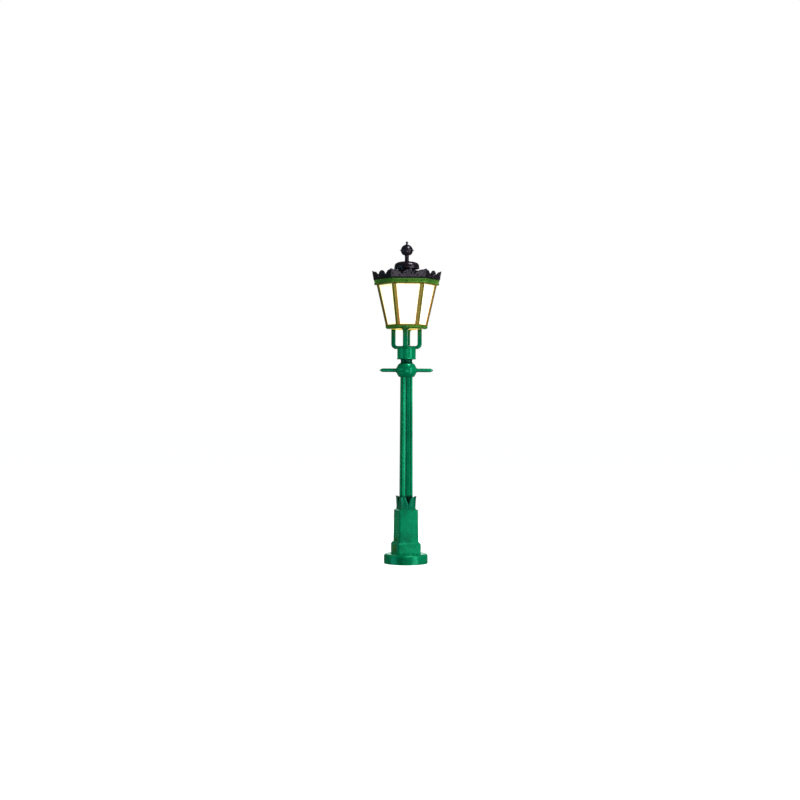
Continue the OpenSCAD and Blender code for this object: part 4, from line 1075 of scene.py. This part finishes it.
ball_slice("finial_bowl_turned", "finial_bowl")
ball_slice("finial_cap_turned", "finial_cap")
piece("finial_ring_turned", lathe_mesh("finial_ring_turned", [
    (ROD_BORE, ring_lo.z, 0), (ball_r - 0.002, ring_lo.z, 0.001), (ring_r, ball_z - 0.005, 0.002),
    (ring_r, ball_z + 0.005, 0.002), (ball_r - 0.002, ring_hi.z, 0.001), (ROD_BORE, ring_hi.z, 0)],
    96, 0.001), *BLACK, ("finial_ring",), 40)
knob_lo, knob_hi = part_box("finial_knob")
knob_r = (knob_hi.x - knob_lo.x) / 2
knob_z = knob_hi.z - knob_r
ball = [(knob_r * cos(radians(a)), knob_z + knob_r * sin(radians(a)), 0) for a in range(-55, 90, 8)]
piece("finial_knob_turned", lathe_mesh("finial_knob_turned", [
    (0.0, knob_lo.z, 0), (knob_r * 0.98, knob_lo.z, 0.001), (knob_r * 0.94, knob_lo.z + 0.006, 0.002),
    (knob_r * 0.74, knob_lo.z + 0.010, 0.002)] + ball + [(0.0, knob_hi.z, 0)], 64, 0.001),
    *BLACK, ("finial_knob",), 40)


# ---------------------------------------------------------------- remaining CAD nodes

ROUNDED = {"vent_ring": 0.0008, "hinge_lower": 0.001, "hinge_upper": 0.001, "latch_knob": 0.0015,
           "latch_cam": 0.0008, "hood_keeper": 0.0008, "lock_barrel": 0.0008, "lock_cam": 0.0008,
           "backboard": 0.002, "cutout_base": 0.003, "fuse_carrier": 0.003, "junction_block": 0.003,
           "lampholder": 0.002, "lamp_stem": 0.001, "cradle_bolts": 0.001, "tie_bolts": 0.001,
           "collar_grub_screws": 0.0006}
FINISH = {"floor_pane": "floor_glass", "latch_knob": "lit_green", "collar_grub_screws": "green_iron"}
for node, width in ROUNDED.items():
    bevelled_copy(node + "_finished", node, FINISH.get(node, SLOT_OF[node]), width, 2)
for node, obj in NODES.items():
    if not obj.hide_render:
        mat = M[FINISH.get(node, SLOT_OF[node])]
        if not obj.material_slots:
            obj.data.materials.append(mat)
        for ms in obj.material_slots:
            ms.material = mat
        obj.data.shade_smooth()
        obj.data.set_sharp_from_angle(angle=radians(35))


# ---------------------------------------------------------------- floor, lights, camera

def stage_floor():
    me = mesh_from("floor", [(-60, -60, 0), (60, -60, 0), (60, 60, 0), (-60, 60, 0)], [(0, 1, 2, 3)])
    o = linked("floor", me)
    mat, nt, bsdf = node_tree("pale_floor")
    tone = noise_tex(nt, object_coords(nt), 2.0, 3)
    pale = ramp(nt, tone, [(0.3, (0.50, 0.50, 0.50)), (0.7, (0.54, 0.54, 0.54))])
    nt.links.new(pale, bsdf.inputs["Base Color"])
    bsdf.inputs["Roughness"].default_value = 0.9
    bsdf.inputs["Specular IOR Level"].default_value = 0.0
    bsdf.inputs["Emission Color"].default_value = (1, 1, 1, 1)
    bsdf.inputs["Emission Strength"].default_value = 0.96
    me.materials.append(mat)
    o.visible_glossy = o.visible_diffuse = o.visible_shadow = False


def area_light(name, at, aim, size, size_y, power, color=(1, 1, 1)):
    li = bpy.data.lights.new(name, "AREA")
    li.shape, li.size, li.size_y, li.energy, li.color = "RECTANGLE", size, size_y, power, color
    o = linked(name, li)
    o.location = at
    o.rotation_euler = (Vector(aim) - Vector(at)).to_track_quat("-Z", "Y").to_euler()
    return o


stage_floor()
world = bpy.data.worlds.new("studio")
bpy.context.scene.world = world
world.use_nodes = True
wt = world.node_tree
wt.nodes.clear()
w_out = wt.nodes.new("ShaderNodeOutputWorld")
w_mix = wt.nodes.new("ShaderNodeMixShader")
w_ray = wt.nodes.new("ShaderNodeLightPath")
w_dim = add(wt, "ShaderNodeBackground", Color=(0.50, 0.58, 0.62, 1), Strength=0.14)
w_white = add(wt, "ShaderNodeBackground", Color=(1, 1, 1, 1), Strength=1.0)
wt.links.new(w_ray.outputs["Is Camera Ray"], w_mix.inputs[0])
wt.links.new(w_dim.outputs[0], w_mix.inputs[1])
wt.links.new(w_white.outputs[0], w_mix.inputs[2])
wt.links.new(w_mix.outputs[0], w_out.inputs[0])

AZIMUTH, BOX_DISTANCE = radians(-3), 5.0


def softbox(name, az_lo, az_hi, z_lo, z_hi, radiance, color=(1, 1, 1), lights=False):
    """An upright softbox between two azimuths, counted from the camera's side; radiance is its brightness.

    It either lights the paint or is mirrored in it, not both.
    """
    mid = radians((az_lo + az_hi) / 2) + AZIMUTH
    half = radians((az_hi - az_lo) / 2)
    w, h = 2 * BOX_DISTANCE * tan(half), z_hi - z_lo
    z = (z_lo + z_hi) / 2
    at = (BOX_DISTANCE * sin(mid), -BOX_DISTANCE * cos(mid), z)
    o = area_light(name, at, (0, 0, z), w, h, radiance * pi * w * h, color)
    o.visible_glossy, o.visible_diffuse, o.visible_camera = not lights, lights, False


# lamps that light the paint, then the cards that it mirrors
softbox("key_right", 42, 66, -0.4, 4.3, 12.5, lights=True)
softbox("fill_left", -80, -56, -0.2, 3.6, 5.2, (0.60, 1.0, 0.95), lights=True)
softbox("far_left", -112, -96, -0.2, 3.6, 7.0, (1.0, 0.98, 0.70), lights=True)
softbox("back_right", 140, 165, 0.0, 4.0, 6.5, lights=True)
softbox("back_left", 195, 220, 0.0, 4.0, 4.0, lights=True)
softbox("card_right", 46, 64, -0.20, 4.6, 3.4)
softbox("card_low", 34, 64, -0.95, -0.50, 4.4)
softbox("card_pedestal", 26, 44, -0.20, 0.35, 0.5)
softbox("card_front", -5, 24, 0.50, 2.05, 3.8)
softbox("card_left_low", -84, -48, -0.95, -0.44, 3.2, (0.25, 0.75, 1.0))
softbox("card_left_high", -84, -44, 2.0, 3.6, 1.6, (0.30, 0.80, 1.0))
softbox("card_back", 165, 195, 0.3, 4.0, 1.4)
area_light("top_soft", (1.5, -1.3, 6.0), (0, 0, 2.0), 1.4, 1.4, 130)

ROLL = radians(0.2)
DISTANCE, EYE, ASIDE = 14.35, 1.65, 0.065  # the camera stands at eye height, a little to the side
cam_data = bpy.data.cameras.new("camera")
cam = linked("camera", cam_data)
bpy.context.scene.camera = cam
cam_data.lens, cam_data.sensor_width = 63.0, 36.0
cam_data.shift_y = 0.0025
back = Vector((sin(AZIMUTH), -cos(AZIMUTH), 0))
right = Vector((cos(AZIMUTH), sin(AZIMUTH), 0))
cam.location = back * DISTANCE - right * ASIDE + Vector((0, 0, EYE))
level = (-back).to_track_quat("-Z", "Y").to_matrix()
cam.rotation_euler = (Matrix.Rotation(ROLL, 3, back) @ level).to_euler()
cam_data.clip_end = 200

bpy.context.scene.view_settings.view_transform = "Standard"
bpy.context.scene.view_settings.look = "None"
